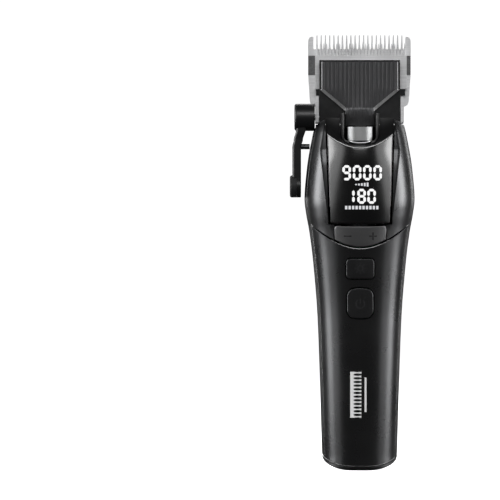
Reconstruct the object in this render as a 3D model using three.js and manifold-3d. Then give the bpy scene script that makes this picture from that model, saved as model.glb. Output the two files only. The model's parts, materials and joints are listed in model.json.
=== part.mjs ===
// Cordless hair clipper, standing upright on its flat foot.
// Millimetres, +Z up from the foot to the blade tips, the display faces -Y, and the
// taper lever is on the -X side. The origin is the centre of the flat foot.

import * as THREE from "three";
import { mergeVertices } from "three/addons/utils/BufferGeometryUtils.js";
import Module from "manifold-3d";

const wasm = await Module();
wasm.setup();

// ---------------------------------------------------------------- driving dimensions

// Body outline: half widths (X) and front and back depths (Y) at a few heights.
const footHalfWidth = 3;
const soleRise = 6.3;
const soleThickness = 1.5;
const baseHalfWidth = 16.4;
const baseDepth = 16.2;
const waistZ = 65;
const waistHalfWidth = 18.3;
const waistDepth = 16.9;
const headZ = 118;
const headHalfWidth = 24.1;
const headFrontDepth = 20.4;
const headBackDepth = 19.2;
const shoulderZ = 151;
const shoulderHalfWidth = 19.3;
const shoulderFrontDepth = 14.5;
const shoulderBackDepth = 11.4;
const earTopZ = 153.4;
const roundness = 2.15;
const wall = 2;
const seamInset = 1;

// Clearances.
const gap = 0.3;
const seamGap = 0.35;
const slideGap = 0.35;
const buttonGap = 0.35;

// Display window, rocker and the curved joint between head cover and barrel cover.
const windowHalfWidth = 14.35;
const windowTaper = 0.033;
const windowBottomZ = 107.2;
const windowTopZ = 140.4;
const windowTopRise = 6.2;
const windowTopSideZ = windowTopZ + windowTopRise;
const windowRecess = 0.4;
const windowThickness = 1.6;
const windowGap = 0.7;
const jointCentreZ = 96.8;
const jointRise = 12.3;
const creaseInset = 3.3;
const creaseShare = 0.8;
const stripSlope = 0.12;

// Buttons on the front.
const rockerHalfWidth = 11.2;
const rockerHeight = 8.6;
const rockerTravelDegrees = 3;
const lightButton = { z: 87.7, width: 12.1, height: 8.7, corner: 1.8, travel: 0.5 };
const powerButton = { z: 72.7, width: 11.3, height: 13.2, corner: 3.2, travel: 0.6 };
const buttonProud = 0.4;
const buttonThickness = 2.6;
const flangeMargin = 0.6;
const flangeThickness = 0.6;

// Blades. The moving blade rests off centre, where the cam has left it.
const bladeHalfWidth = 22.45;
const bladeHeelHalfWidth = 21.7;
const bladeTopZ = 190;
const bladeHeelZ = 158.6;
const bladeFrontY = 2.6;
const bladeThickness = 2.4;
const bladeTipThickness = 0.9;
const bladeToothCount = 21;
const bladeToothPitch = 1.857;
const bladeToothRootZ = 184.2;
const grooveTopZ = 180.9;
const grooveDepth = 0.35;
const movingBladeHalfWidth = 20.05;
const movingBladeThickness = 1.4;
const movingBladeHeelZ = 166.4;
const movingBladeRailZ = 181;
const movingBladeTipZ = 186.3;
const movingToothCount = 28;
const movingBladeX = 0.63;
const strokeHalf = 1.3;
const taperTravel = 1.99;

// Nose, hair guard and neck.
const noseHalfWidth = 17.7;
const noseTopZ = 166;
const noseBaseZ = 151;
const noseWall = 1.2;
const noseFrontY = -4.2;
const guardFrontY = -5.9;
const guardThickness = 1.3;
const guardHalfWidth = 17.6;
const guardTopZ = 178.8;
const guardFlareZ = 166;
const neckHalfWidth = 6.2;
const neckTopZ = 156.5;
const neckBottomZ = 149.8;
const neckDrop = 8.2;
const insertRadius = 7.6;
const insertHalfWidth = 6.75;
const insertBottomZ = 143.5;
const collarRadius = 8.9;
const collarY = -6.6;
const collarWall = 1.4;
const bracketThickness = 2.7;
const bracketCheek = 1.4;
const bracketTopZ = 163;

// Taper lever.
const leverY = -1.5;
const leverZ = 153.9;
const bossRadius = 6;
const bossInnerX = -(shoulderHalfWidth + gap);
const armClearance = 1.5;
const armThickness = 3.8;
const armOuterX = -(headHalfWidth + armClearance + armThickness);
const bossOuterX = armOuterX + 0.9;
const armHalfDepth = 3.6;
const knobZ = 123.7;
const knobRadius = 4.85;
const padSeat = 1.9;
const knobOuterX = armOuterX - 1.1;
const detentZ = 141.1;
const detentRadius = 1.2;
const shaftRadius = 1.4;
const shaftOuterX = bossInnerX - 3.4;
const bushRadius = 2;
const crankRadius = 2.6;
const crankPinRadius = 0.9;
const leverSwing = THREE.MathUtils.degToRad(45);

// Drive: motor, eccentric cam and the yoke that the cam moves.
const motorY = 3.2;
const motorRadius = 12;
const motorBaseZ = 100;
const motorTopZ = 130.7;
const motorBossRadius = 3.2;
const motorBossHeight = 2.7;
const motorPlateThickness = 1.8;
const motorShaftRadius = 1.15;
const camRadius = 4.2;
const camBaseZ = 136.5;
const camTopZ = 141;
const camPinRadius = 1;
const camPinTopZ = 147.2;
const bearingRadius = 1.9;
const yokeProngWidth = 2;
const yokeFrontY = -1.2;
const yokeBackY = 0.5;
const yokeTopZ = 172;
const yokeBarZ = 163.4;
const yokeBarHeight = 2.8;
const springWireRadius = 0.5;
const springArmX = 10.6;

// Battery and boards.
const cellRadius = 9.15;
const cellLength = 65;
const cellBaseZ = 24;
const cellY = 2;
const cradleThickness = 1.2;
const boardThickness = 1.4;
const mainBoardY = -9.2;
const mainBoardHalfWidth = 9;
const displayBoardY = -11.6;
const displayBoardHalfWidth = 10.5;
const displayTopZ = 134;
const switchThickness = 1.6;
const switchClearance = 0.05;
const socketWidth = 8.9;
const socketDepth = 3.2;
const socketLength = 7;
const socketY = 6;
const contactRadius = 1.6;
const contactX = 6;
const contactY = -5;
const chargeBoardZ = 9;
const screwHeadRadius = 2.2;
const screwShankRadius = 1;
const postRadius = 1.8;
const lowerScrewZ = 15.5;
const upperScrewZ = 94.6;

// ---------------------------------------------------------------- colours

const finishes = {
  gunmetal: [0x1d1e20, 0.32, 0.75],
  black: [0x101112, 0.45, 0.1],
  gloss: [0x050506, 0.08, 0.0],
  guard: [0x262628, 0.5, 0.4],
  steel: [0xb4b6b8, 0.32, 1.0],
  chrome: [0xd8dadc, 0.08, 1.0],
  rubber: [0x151515, 0.8, 0.0],
  board: [0x14502e, 0.6, 0.0],
  cell: [0x2f63a8, 0.4, 0.1],
  copper: [0xb87333, 0.35, 1.0],
  red: [0xa01818, 0.6, 0.0],
  white: [0xd8d8d4, 0.5, 0.0],
};

// ---------------------------------------------------------------- solids and cuts

function signedVolume(geometry) {
  const point = geometry.attributes.position;
  const index = geometry.index;
  const corners = [new THREE.Vector3(), new THREE.Vector3(), new THREE.Vector3()];
  let volume = 0;
  for (let i = 0; i < index.count; i += 3) {
    corners.forEach((corner, k) => corner.fromBufferAttribute(point, index.getX(i + k)));
    volume += corners[0].dot(corners[1].clone().cross(corners[2])) / 6;
  }
  return volume;
}

function closed(geometry) {
  geometry.deleteAttribute("normal");
  geometry.deleteAttribute("uv");
  const merged = mergeVertices(geometry, 1e-5);
  if (signedVolume(merged) < 0) {
    const index = merged.index.array;
    for (let i = 0; i < index.length; i += 3) {
      [index[i + 1], index[i + 2]] = [index[i + 2], index[i + 1]];
    }
  }
  return merged;
}

function toManifold(geometry) {
  const merged = closed(geometry);
  return new wasm.Manifold(new wasm.Mesh({
    numProp: 3,
    vertProperties: new Float32Array(merged.attributes.position.array),
    triVerts: new Uint32Array(merged.index.array),
  }));
}

function toGeometry(manifold) {
  const mesh = manifold.getMesh();
  const geometry = new THREE.BufferGeometry();
  geometry.setAttribute("position", new THREE.BufferAttribute(new Float32Array(mesh.vertProperties), 3));
  geometry.setIndex(new THREE.BufferAttribute(new Uint32Array(mesh.triVerts), 1));
  return geometry;
}

function cut(geometry, ...tools) {
  let result = toManifold(geometry);
  for (const tool of tools) result = result.subtract(toManifold(tool));
  return toGeometry(result);
}

function join(geometry, ...others) {
  let result = toManifold(geometry);
  for (const other of others) result = result.add(toManifold(other));
  return toGeometry(result);
}

function common(geometry, other) {
  return toGeometry(toManifold(geometry).intersect(toManifold(other)));
}

function box(x, y, z) {
  const geometry = new THREE.BoxGeometry(x[1] - x[0], y[1] - y[0], z[1] - z[0]);
  return geometry.translate((x[0] + x[1]) / 2, (y[0] + y[1]) / 2, (z[0] + z[1]) / 2);
}

function rodX(radius, x, y, z, sides = 20) {
  const geometry = new THREE.CylinderGeometry(radius, radius, x[1] - x[0], sides);
  return geometry.rotateZ(Math.PI / 2).translate((x[0] + x[1]) / 2, y, z);
}

function rodY(radius, x, y, z, sides = 14) {
  const geometry = new THREE.CylinderGeometry(radius, radius, y[1] - y[0], sides);
  return geometry.translate(x, (y[0] + y[1]) / 2, z);
}

function rodZ(radius, x, y, z, sides = 20) {
  const geometry = new THREE.CylinderGeometry(radius, radius, z[1] - z[0], sides);
  return geometry.rotateX(Math.PI / 2).translate(x, y, (z[0] + z[1]) / 2);
}

// A profile of [radius, height] pairs turned about a vertical axis.
function turnedZ(profile, x, y, sides = 24) {
  const points = profile.map(([radius, height]) => new THREE.Vector2(radius, height));
  return new THREE.LatheGeometry(points, sides).rotateX(Math.PI / 2).translate(x, y, 0);
}

// An outline drawn in X and Z, given a depth along Y.
function plateY(shape, y, curveSegments = 3) {
  const settings = { depth: y[1] - y[0], bevelEnabled: false, curveSegments };
  return new THREE.ExtrudeGeometry(shape, settings).rotateX(Math.PI / 2).translate(0, y[1], 0);
}

// An outline drawn in Y and Z, given a depth along X.
function plateX(shape, x, curveSegments = 3) {
  const settings = { depth: x[1] - x[0], bevelEnabled: false, curveSegments };
  const turn = new THREE.Matrix4().set(0, 0, 1, x[0], 1, 0, 0, 0, 0, 1, 0, 0, 0, 0, 0, 1);
  return new THREE.ExtrudeGeometry(shape, settings).applyMatrix4(turn);
}

function polygon(points) {
  return new THREE.Shape(points.map(([a, b]) => new THREE.Vector2(a, b)));
}

function roundedOutline(centreX, centreZ, width, height, corner) {
  const shape = new THREE.Shape();
  const [right, top] = [width / 2, height / 2];
  const turns = [[right, -top, -0.5], [right, top, 0], [-right, top, 0.5], [-right, -top, 1]];
  for (const [x, z, start] of turns) {
    const cx = centreX + x - Math.sign(x) * corner;
    const cz = centreZ + z - Math.sign(z) * corner;
    shape.absarc(cx, cz, corner, start * Math.PI, (start + 0.5) * Math.PI, false);
  }
  return shape;
}

// A thick patch between two surfaces, each a function of u and v from 0 to 1.
function thickPatch(outer, inner, columns, rows) {
  const positions = [];
  for (const surface of [outer, inner]) {
    for (let j = 0; j <= rows; j += 1) {
      for (let i = 0; i <= columns; i += 1) positions.push(...surface(i / columns, j / rows));
    }
  }
  const layer = (columns + 1) * (rows + 1);
  const at = (side, i, j) => side * layer + j * (columns + 1) + i;
  const index = [];
  const quad = (a, b, c, d) => index.push(a, b, c, a, c, d);
  for (let j = 0; j < rows; j += 1) {
    for (let i = 0; i < columns; i += 1) {
      quad(at(0, i, j), at(0, i + 1, j), at(0, i + 1, j + 1), at(0, i, j + 1));
      quad(at(1, i, j), at(1, i, j + 1), at(1, i + 1, j + 1), at(1, i + 1, j));
    }
  }
  for (let i = 0; i < columns; i += 1) {
    quad(at(0, i, 0), at(1, i, 0), at(1, i + 1, 0), at(0, i + 1, 0));
    quad(at(0, i, rows), at(0, i + 1, rows), at(1, i + 1, rows), at(1, i, rows));
  }
  for (let j = 0; j < rows; j += 1) {
    quad(at(0, 0, j), at(0, 0, j + 1), at(1, 0, j + 1), at(1, 0, j));
    quad(at(0, columns, j), at(1, columns, j), at(1, columns, j + 1), at(0, columns, j + 1));
  }
  const geometry = new THREE.BufferGeometry();
  geometry.setAttribute("position", new THREE.Float32BufferAttribute(positions, 3));
  geometry.setIndex(index);
  return geometry;
}

// A closed solid through rings of points, with flat ends.
function loft(rings) {
  const sides = rings[0].length;
  const positions = rings.flat(2);
  const index = [];
  for (let j = 0; j + 1 < rings.length; j += 1) {
    for (let i = 0; i < sides; i += 1) {
      const [a, b] = [j * sides + i, j * sides + ((i + 1) % sides)];
      index.push(a, b, b + sides, a, b + sides, a + sides);
    }
  }
  const last = (rings.length - 1) * sides;
  for (let i = 1; i + 1 < sides; i += 1) {
    index.push(0, i + 1, i);
    index.push(last, last + i, last + i + 1);
  }
  const geometry = new THREE.BufferGeometry();
  geometry.setAttribute("position", new THREE.Float32BufferAttribute(positions, 3));
  geometry.setIndex(index);
  return geometry;
}

function tube(points, radius, steps) {
  const path = new THREE.CatmullRomCurve3(points.map((point) => new THREE.Vector3(...point)));
  const section = new THREE.Shape();
  section.absarc(0, 0, radius, 0, 2 * Math.PI, false);
  const settings = { steps, extrudePath: path, curveSegments: 3, bevelEnabled: false };
  return new THREE.ExtrudeGeometry(section, settings);
}

// ---------------------------------------------------------------- the body's outer skin

// A smooth curve through stations that never overshoots them.
function profile(stations) {
  const slopes = stations.slice(1).map(([z, value], i) => (value - stations[i][1]) / (z - stations[i][0]));
  const tangents = stations.map((_, i) => {
    if (i === 0) return slopes[0];
    if (i === slopes.length) return slopes[i - 1];
    const [before, after] = [slopes[i - 1], slopes[i]];
    return before * after <= 0 ? 0 : (2 * before * after) / (before + after);
  });
  return (z) => {
    const last = stations.length - 2;
    let i = 0;
    while (i < last && z > stations[i + 1][0]) i += 1;
    const span = stations[i + 1][0] - stations[i][0];
    const t = THREE.MathUtils.clamp((z - stations[i][0]) / span, 0, 1);
    const [a, b] = [stations[i][1], stations[i + 1][1]];
    const rise = t * t * (3 - 2 * t);
    return a + (b - a) * rise + span * t * (1 - t) * ((1 - t) * tangents[i] - t * tangents[i + 1]);
  };
}

const { lerp, clamp } = THREE.MathUtils;
const rising = (t, share) => [lerp(waistZ, headZ, t), lerp(waistHalfWidth, headHalfWidth, share)];
const falling = (t, share) => [lerp(headZ, shoulderZ, t), lerp(headHalfWidth, shoulderHalfWidth, share)];

const widthAt = profile([
  [soleRise, baseHalfWidth],
  [waistZ, waistHalfWidth],
  rising(0.5, 0.36),
  rising(0.75, 0.655),
  rising(0.87, 0.86),
  [headZ, headHalfWidth],
  falling(0.4, 0.21),
  falling(0.8, 0.67),
  [shoulderZ, shoulderHalfWidth],
  [earTopZ, shoulderHalfWidth - 1],
]);

const frontAt = profile([
  [soleRise, baseDepth],
  [waistZ, waistDepth],
  [lerp(waistZ, headZ, 0.66), lerp(waistDepth, headFrontDepth, 0.55)],
  [headZ, headFrontDepth],
  [lerp(headZ, shoulderZ, 0.45), headFrontDepth],
  [windowTopSideZ, lerp(headFrontDepth, shoulderFrontDepth, 0.35)],
  [shoulderZ, shoulderFrontDepth],
  [earTopZ, shoulderFrontDepth - 4.5],
]);

const backAt = profile([
  [soleRise, baseDepth],
  [waistZ, waistDepth],
  [headZ, headBackDepth],
  [lerp(headZ, shoulderZ, 0.45), headBackDepth - 1],
  [shoulderZ, shoulderBackDepth],
  [earTopZ, shoulderBackDepth - 1.4],
]);

const signedPower = (value, power) => Math.sign(value) * Math.abs(value) ** power;

// Depth of the front skin at a sideways distance x, before any flat strip.
function plainFront(x, z, inset = 0) {
  const share = Math.min(1, Math.abs(x) / (widthAt(z) - inset));
  return (frontAt(z) - inset) * (1 - share ** roundness) ** (1 / roundness);
}

const windowEdgeAt = (z) => windowHalfWidth - windowTaper * Math.max(0, windowTopSideZ - z);
const creaseAt = (z) => {
  const spread = creaseInset * clamp((z - windowBottomZ + 10) / 40, 0.3, 1);
  return Math.min(windowEdgeAt(z) + spread, creaseShare * widthAt(z));
};
const stripBlend = (z) => THREE.MathUtils.smoothstep(z, jointCentreZ + 5, windowBottomZ + 3);

// The head's flat strips run beside the window, from its edge out to a crease.
function frontDepth(x, z, inset = 0) {
  const plain = plainFront(x, z, inset);
  const crease = creaseAt(z);
  if (Math.abs(x) >= crease) return plain;
  const strip = plainFront(crease, z) + (crease - Math.abs(x)) * stripSlope - inset;
  return lerp(plain, Math.min(plain, strip), stripBlend(z));
}

// A point of the skin: angle 0 is the front centre, a half turn is the back centre.
function skin(z, angle, inset = 0) {
  const power = 2 / roundness;
  const x = (widthAt(z) - inset) * signedPower(Math.sin(angle), power);
  if (Math.cos(angle) > 0) return [x, -Math.max(0, frontDepth(x, z, inset)), z];
  return [x, -(backAt(z) - inset) * signedPower(Math.cos(angle), power), z];
}

function seamAngle(z) {
  return Math.asin(((widthAt(z) - seamInset) / widthAt(z)) ** (roundness / 2));
}

// Underside of the sole: a short flat foot, then an even curve up to the sides.
function soleAt(x) {
  const reach = clamp((Math.abs(x) - footHalfWidth) / (baseHalfWidth - footHalfWidth), 0, 1);
  return soleRise * (1 - Math.sqrt(1 - reach ** 2));
}

const shellBottomAt = (x) => soleAt(x * 0.985) + soleThickness + seamGap;
const jointAt = (x) => jointCentreZ + jointRise * (Math.abs(x) / 22) ** 2;
const earTopAt = (x) => earTopZ - 0.39 * Math.max(0, Math.abs(x) - windowHalfWidth);

function windowDepth(x, z, inset = 0) {
  const edge = windowEdgeAt(z);
  const sagitta = frontAt(z) - frontDepth(edge, z) + windowRecess;
  return frontAt(z) - inset - sagitta * (x / edge) ** 2;
}

// ---------------------------------------------------------------- housing

// A curved shell between two edges; the edges are heights that depend on x.
function shellPatch(fromAngle, toAngle, bottomAt, topAt, columns, rows) {
  const surface = (inset) => (u, v) => {
    const place = (z) => skin(z, lerp(fromAngle(z), toAngle(z), u), inset);
    const bottom = bottomAt(place(soleRise)[0]);
    const top = topAt(place(shoulderZ)[0]);
    return place(lerp(bottom, top, v));
  };
  return thickPatch(surface(0), surface(wall), columns, rows);
}

function screwPost(z) {
  const post = rodY(postRadius, 0, [-frontAt(z) + wall / 2, cellY + 1], z);
  return cut(post, rodY(screwShankRadius + gap, 0, [cellY - 6, cellY + 2], z));
}

const lowerHousingScrew = { z: lowerScrewZ, headY: backAt(lowerScrewZ) - 1.4 };
const upperHousingScrew = { z: upperScrewZ, headY: backAt(upperScrewZ) - 1.4 };

function rearHousing() {
  const from = (z) => seamAngle(z) + seamGap / widthAt(z);
  const shell = shellPatch(from, (z) => 2 * Math.PI - from(z), shellBottomAt, () => shoulderZ - gap, 20, 16);
  const pocket = rodX(bossRadius + slideGap, [-40, bossInnerX + 0.4], leverY, leverZ, 32);
  const holes = [lowerHousingScrew, upperHousingScrew].flatMap(({ z, headY }) => [
    rodY(screwHeadRadius + gap, 0, [headY - gap, headY + 10], z),
    rodY(screwShankRadius + gap, 0, [headY - 10, headY + 1], z),
  ]);
  return cut(shell, pocket, bushHole(), ...holes);
}

function bushHole() {
  return rodX(bushRadius + gap, [-25, -10], leverY, leverZ, 16);
}

function barrelCover() {
  const topAt = (x) => jointAt(x) - seamGap;
  const surface = (inset) => (u, v) => {
    const place = (z) => skin(z, lerp(-seamAngle(z), seamAngle(z), u), inset);
    const bottom = shellBottomAt(place(soleRise)[0]);
    const top = topAt(place(jointCentreZ)[0]);
    return place(lerp(bottom, top, v));
  };
  const shell = thickPatch(surface(0), surface(wall), 16, 8);
  const holes = [lightButton, powerButton].map((button) => buttonHole(button));
  const withPosts = join(shell, screwPost(lowerScrewZ), screwPost(upperScrewZ));
  return cut(withPosts, ...holes, rockerHole());
}

function headCover() {
  const surface = (inset) => (u, v) => {
    const place = (z) => skin(z, lerp(-seamAngle(z), seamAngle(z), u), inset);
    const bottom = jointAt(place(jointCentreZ)[0]);
    const top = earTopAt(place(shoulderZ)[0]);
    const knee = 0.9;
    if (v < knee) return place(lerp(bottom, shoulderZ, v / knee));
    return place(lerp(shoulderZ, top, (v - knee) / (1 - knee)));
  };
  const shell = thickPatch(surface(0), surface(wall), 22, 10);
  const bottomEdge = windowEdgeAt(windowBottomZ) + windowGap;
  const topEdge = windowHalfWidth + windowGap;
  const opening = plateY(polygon([
    [-bottomEdge, windowBottomZ - gap],
    [bottomEdge, windowBottomZ - gap],
    [topEdge, windowTopSideZ],
    [topEdge, earTopZ + 5],
    [-topEdge, earTopZ + 5],
    [-topEdge, windowTopSideZ],
  ]), [-30, -3]);
  const pocket = rodX(bossRadius + slideGap, [-40, bossInnerX + 0.4], leverY, leverZ, 32);
  const noseSeat = box([-noseHalfWidth - gap, noseHalfWidth + gap], [noseFrontY - gap, 10],
    [noseBaseZ - gap, earTopZ + 5]);
  return cut(shell, opening, pocket, noseSeat, bushHole(), rockerHole());
}

// The sole closes the bottom: its upper edge follows the shells' lower edge.
function bottomCap() {
  const ring = (z, inset) => {
    const points = [];
    for (let i = 0; i < 32; i += 1) points.push(skin(soleRise, (i / 16) * Math.PI, inset));
    return points.map(([x, y]) => [x, y, z]);
  };
  const rounding = (z) => 1.6 * (1 - Math.sqrt(1 - (1 - z / soleThickness) ** 2));
  const heights = [0, 0.3, 1, soleThickness, soleRise + soleThickness + 1];
  const column = loft(heights.map((z) => ring(z, z < soleThickness ? rounding(z) : 0)));
  const under = [];
  const over = [];
  for (let i = 0; i <= 20; i += 1) {
    const x = (baseHalfWidth + 0.3) * Math.sin(lerp(-Math.PI / 2, Math.PI / 2, i / 20));
    under.push([x, soleAt(x)]);
    over.unshift([x, soleAt(x * 0.985) + soleThickness]);
  }
  const band = common(column, plateY(polygon([...under, ...over]), [-30, 30]));
  const socketHole = plateZHole(socketWidth + 2 * gap, socketDepth + 2 * gap, 0, socketY);
  const contactHoles = [-1, 1].map((side) => rodZ(contactRadius + gap, side * contactX, contactY, [-1, 9]));
  return cut(band, socketHole, ...contactHoles);
}

function stadium(width, depth) {
  return roundedOutline(0, 0, width, depth, depth / 2 - 0.01);
}

function plateZHole(width, depth, x, y) {
  const settings = { depth: 12, bevelEnabled: false, curveSegments: 3 };
  return new THREE.ExtrudeGeometry(stadium(width, depth), settings).translate(x, y, -2);
}

// ---------------------------------------------------------------- window and controls

function windowPatch(front, back, margin) {
  const surface = (inset) => (u, v) => {
    const side = 2 * u - 1;
    const z = lerp(windowBottomZ, windowTopZ + windowTopRise * side ** 2 + margin, v);
    const x = side * (windowEdgeAt(z) + margin);
    return [x, -windowDepth(x, z, inset), z];
  };
  return thickPatch(surface(front), surface(back), 14, 6);
}

function displayWindow() {
  return windowPatch(0, windowThickness, 0);
}

function rockerOutline(margin) {
  const shape = [];
  const halfWidth = rockerHalfWidth + margin;
  const topZ = windowBottomZ - 0.8 + margin;
  for (let i = 0; i <= 10; i += 1) {
    const x = lerp(-halfWidth, halfWidth, i / 10);
    shape.push([x, jointAt(x) + 0.5 - margin]);
  }
  shape.push([halfWidth, topZ - 1], [halfWidth - 1, topZ], [1 - halfWidth, topZ], [-halfWidth, topZ - 1]);
  return polygon(shape);
}

function rockerHole() {
  return plateY(rockerOutline(buttonGap), [-30, -10]);
}

// A pad that follows the front skin, cut to an outline drawn in X and Z.
function frontPad(outline, halfWidth, zRange, proud, thickness) {
  const surface = (inset) => (u, v) => {
    const [x, z] = [lerp(-halfWidth, halfWidth, u), lerp(zRange[0], zRange[1], v)];
    return [x, -plainFront(x, z) + inset, z];
  };
  const sheet = thickPatch(surface(-proud), surface(thickness - proud), 6, 2);
  return common(sheet, plateY(outline, [-30, 0]));
}

const rockerSwitchX = 6.5;
const rockerSwitchZ = jointCentreZ + 6;
const rockerSwing = rockerSwitchX * Math.sin(THREE.MathUtils.degToRad(rockerTravelDegrees));

function rocker() {
  const zRange = [jointCentreZ - 1, windowBottomZ + 1];
  const pad = frontPad(rockerOutline(0), rockerHalfWidth + 1, zRange, 0.1, wall + 0.2);
  const posts = [-1, 1].map((side) => {
    const x = side * rockerSwitchX;
    return rodY(1.3, x, [-plainFront(x, rockerSwitchZ) + wall / 2, rockerPostEnd()], rockerSwitchZ, 12);
  });
  return join(pad, ...posts);
}

function rockerPostEnd() {
  return mainBoardY - boardThickness - switchThickness - rockerSwing - switchClearance - gap;
}

function buttonOutline(button, margin) {
  const { z, width, height, corner } = button;
  return roundedOutline(0, z, width + 2 * margin, height + 2 * margin, corner + margin);
}

function buttonHole(button) {
  return plateY(buttonOutline(button, buttonGap), [-30, -10]);
}

function frontButton(button) {
  const { z, width, height, travel } = button;
  const skinY = -frontAt(z);
  const zRange = [z - height / 2 - 0.5, z + height / 2 + 0.5];
  const cap = frontPad(buttonOutline(button, 0), width / 2 + 0.5, zRange, buttonProud, buttonThickness);
  const flangeX = width / 2 + flangeMargin;
  const flangeFront = gap - plainFront(flangeX, z - height / 2 - flangeMargin, wall);
  const flange = plateY(buttonOutline(button, flangeMargin), [flangeFront, flangeFront + flangeThickness]);
  const core = plateY(buttonOutline(button, -0.6), [skinY + 1, flangeFront + flangeThickness / 2]);
  const stemEnd = mainBoardY - boardThickness - switchThickness - travel - switchClearance;
  const stem = rodY(1.5, 0, [flangeFront + flangeThickness / 2, stemEnd], z, 16);
  return join(cap, core, flange, stem);
}

function tactSwitch(x, z) {
  const y = mainBoardY - boardThickness;
  return box([x - 2.2, x + 2.2], [y - switchThickness, y - gap / 2], [z - 2.2, z + 2.2]);
}

// ---------------------------------------------------------------- scoop, nose and guard

function scoopDeck() {
  const surface = (inset) => (u, v) => {
    const side = 2 * u - 1;
    const startX = side * windowHalfWidth;
    const startZ = windowTopZ + windowTopRise * side ** 2 + gap;
    const start = [-windowDepth(startX, startZ) + 0.6, startZ];
    const turn = [-7, startZ + 1.8];
    const end = [noseFrontY - gap - 1.6, earTopZ - 0.4];
    const [a, b, c] = [(1 - v) ** 2, 2 * v * (1 - v), v ** 2];
    const y = a * start[0] + b * turn[0] + c * end[0];
    const z = a * start[1] + b * turn[1] + c * end[1];
    const slope = Math.atan2(
      (1 - v) * (turn[1] - start[1]) + v * (end[1] - turn[1]),
      (1 - v) * (turn[0] - start[0]) + v * (end[0] - turn[0]),
    );
    return [startX, y + inset * Math.sin(slope), z - inset * Math.cos(slope)];
  };
  const windowSpace = windowPatch(-2, windowThickness + gap, gap);
  return cut(thickPatch(surface(0), surface(1.4), 14, 8), collarSpace(), windowSpace);
}

function neckOutline(halfWidth, bottomZ, topZ, corner) {
  const shape = new THREE.Shape();
  shape.moveTo(-halfWidth, topZ);
  shape.lineTo(-halfWidth, bottomZ + corner);
  shape.absarc(-halfWidth + corner, bottomZ + corner, corner, Math.PI, 1.5 * Math.PI, false);
  shape.absarc(halfWidth - corner, bottomZ + corner, corner, 1.5 * Math.PI, 2 * Math.PI, false);
  shape.lineTo(halfWidth, topZ);
  shape.closePath();
  return shape;
}

const collarHalfWidth = insertHalfWidth + slideGap + collarWall;
const collarBottomZ = insertBottomZ - 2.1;

function collarSpace() {
  const outline = neckOutline(collarHalfWidth + gap, collarBottomZ - gap, earTopZ + 8, 4);
  return plateY(outline, [-30, noseFrontY + 1]);
}

function neckCollar() {
  const outline = neckOutline(collarHalfWidth, collarBottomZ, neckTopZ - 1, 4);
  const block = plateY(outline, [-20, noseFrontY - gap]);
  const round = common(block, rodZ(collarRadius, 0, collarY, [collarBottomZ - 1, neckTopZ], 40));
  const channel = neckOutline(insertHalfWidth + slideGap, insertBottomZ - gap, neckTopZ + 5, 2);
  const lipSlot = box([-4.8, 4.8], [-30, -12], [insertBottomZ - 1.6, insertBottomZ]);
  return cut(round, plateY(channel, [-30, -9.6]), lipSlot, guardSpace());
}

function neckInsert() {
  const outline = neckOutline(insertHalfWidth, insertBottomZ, neckBottomZ - 0.3, 1.4);
  const block = plateY(outline, [-20, -10]);
  return common(block, rodZ(insertRadius, 0, collarY, [insertBottomZ - 1, neckBottomZ + 2], 40));
}

function insertLip() {
  const outline = polygon([[-4.4, 0.4], [-4.2, -0.3], [0, -0.9], [4.2, -0.3], [4.4, 0.4], [0, -0.2]]);
  const bar = plateY(outline, [-20, -12.6]).translate(0, 0, insertBottomZ - 0.7);
  return common(bar, rodZ(insertRadius + 0.5, 0, collarY, [insertBottomZ - 3, insertBottomZ + 1], 40));
}

function guardHalfWidthAt(z) {
  return lerp(neckHalfWidth, guardHalfWidth, clamp((z - neckTopZ) / (guardFlareZ - neckTopZ), 0, 1));
}

// Front face of the guard: flat above, running forward and rounding at the neck.
function guardFace(x, z) {
  const fall = clamp((neckTopZ + 1.5 - z) / neckDrop, 0, 1);
  const round = insertRadius - Math.sqrt(insertRadius ** 2 - Math.min(Math.abs(x), neckHalfWidth) ** 2);
  const reach = insertRadius - collarY + guardFrontY;
  return guardFrontY - (reach - round) * fall ** 1.5;
}

function guardSheet(front, back, margin) {
  const heights = [neckBottomZ, 151, 152.3, 153.6, 155, neckTopZ, 158, 162, guardFlareZ, 172, guardTopZ];
  const rows = heights.length - 1;
  const surface = (offset) => (u, v) => {
    const z = heights[Math.round(v * rows)];
    const x = (2 * u - 1) * (guardHalfWidthAt(z) + margin);
    const sag = v === 0 ? 1.1 * (x / neckHalfWidth) ** 2 - margin : 0;
    return [x, guardFace(x, z) + offset, z + sag];
  };
  return thickPatch(surface(front), surface(back), 10, rows);
}

function guardSpace() {
  return guardSheet(-6, guardThickness + gap, gap);
}

function hairGuard() {
  const plate = guardSheet(0, guardThickness, 0);
  const inner = guardFrontY + guardThickness / 2;
  const topLip = box([-guardHalfWidth, guardHalfWidth], [inner, 0.3], [guardTopZ - 1.2, guardTopZ]);
  const sideLips = [-1, 1].map((side) => {
    const x = [side * guardHalfWidth, side * (guardHalfWidth - 1.2)].sort((a, b) => a - b);
    return box(x, [inner, -1.5], [guardFlareZ + 0.6, guardTopZ]);
  });
  return join(plate, topLip, ...sideLips);
}

function topFrame() {
  const outline = [];
  for (let i = 0; i < 40; i += 1) {
    const [x, y] = skin(shoulderZ, (i / 20) * Math.PI, wall + gap + 0.15);
    outline.push([x, y]);
  }
  const settings = { depth: 1.6, bevelEnabled: false };
  const sheet = new THREE.ExtrudeGeometry(polygon(outline), settings).translate(0, 0, shoulderZ - 2.1);
  const z = [shoulderZ - 5, shoulderZ + 2];
  const front = box([-windowHalfWidth - 1.2, windowHalfWidth + 1.2], [-30, noseFrontY + 0.8], z);
  const sideReach = yokeHalfWidth + movingBladeX + strokeHalf + slideGap;
  const slot = box([-sideReach, sideReach], [yokeFrontY - slideGap, yokeBackY + slideGap], z);
  return cut(sheet, front, slot);
}

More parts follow.
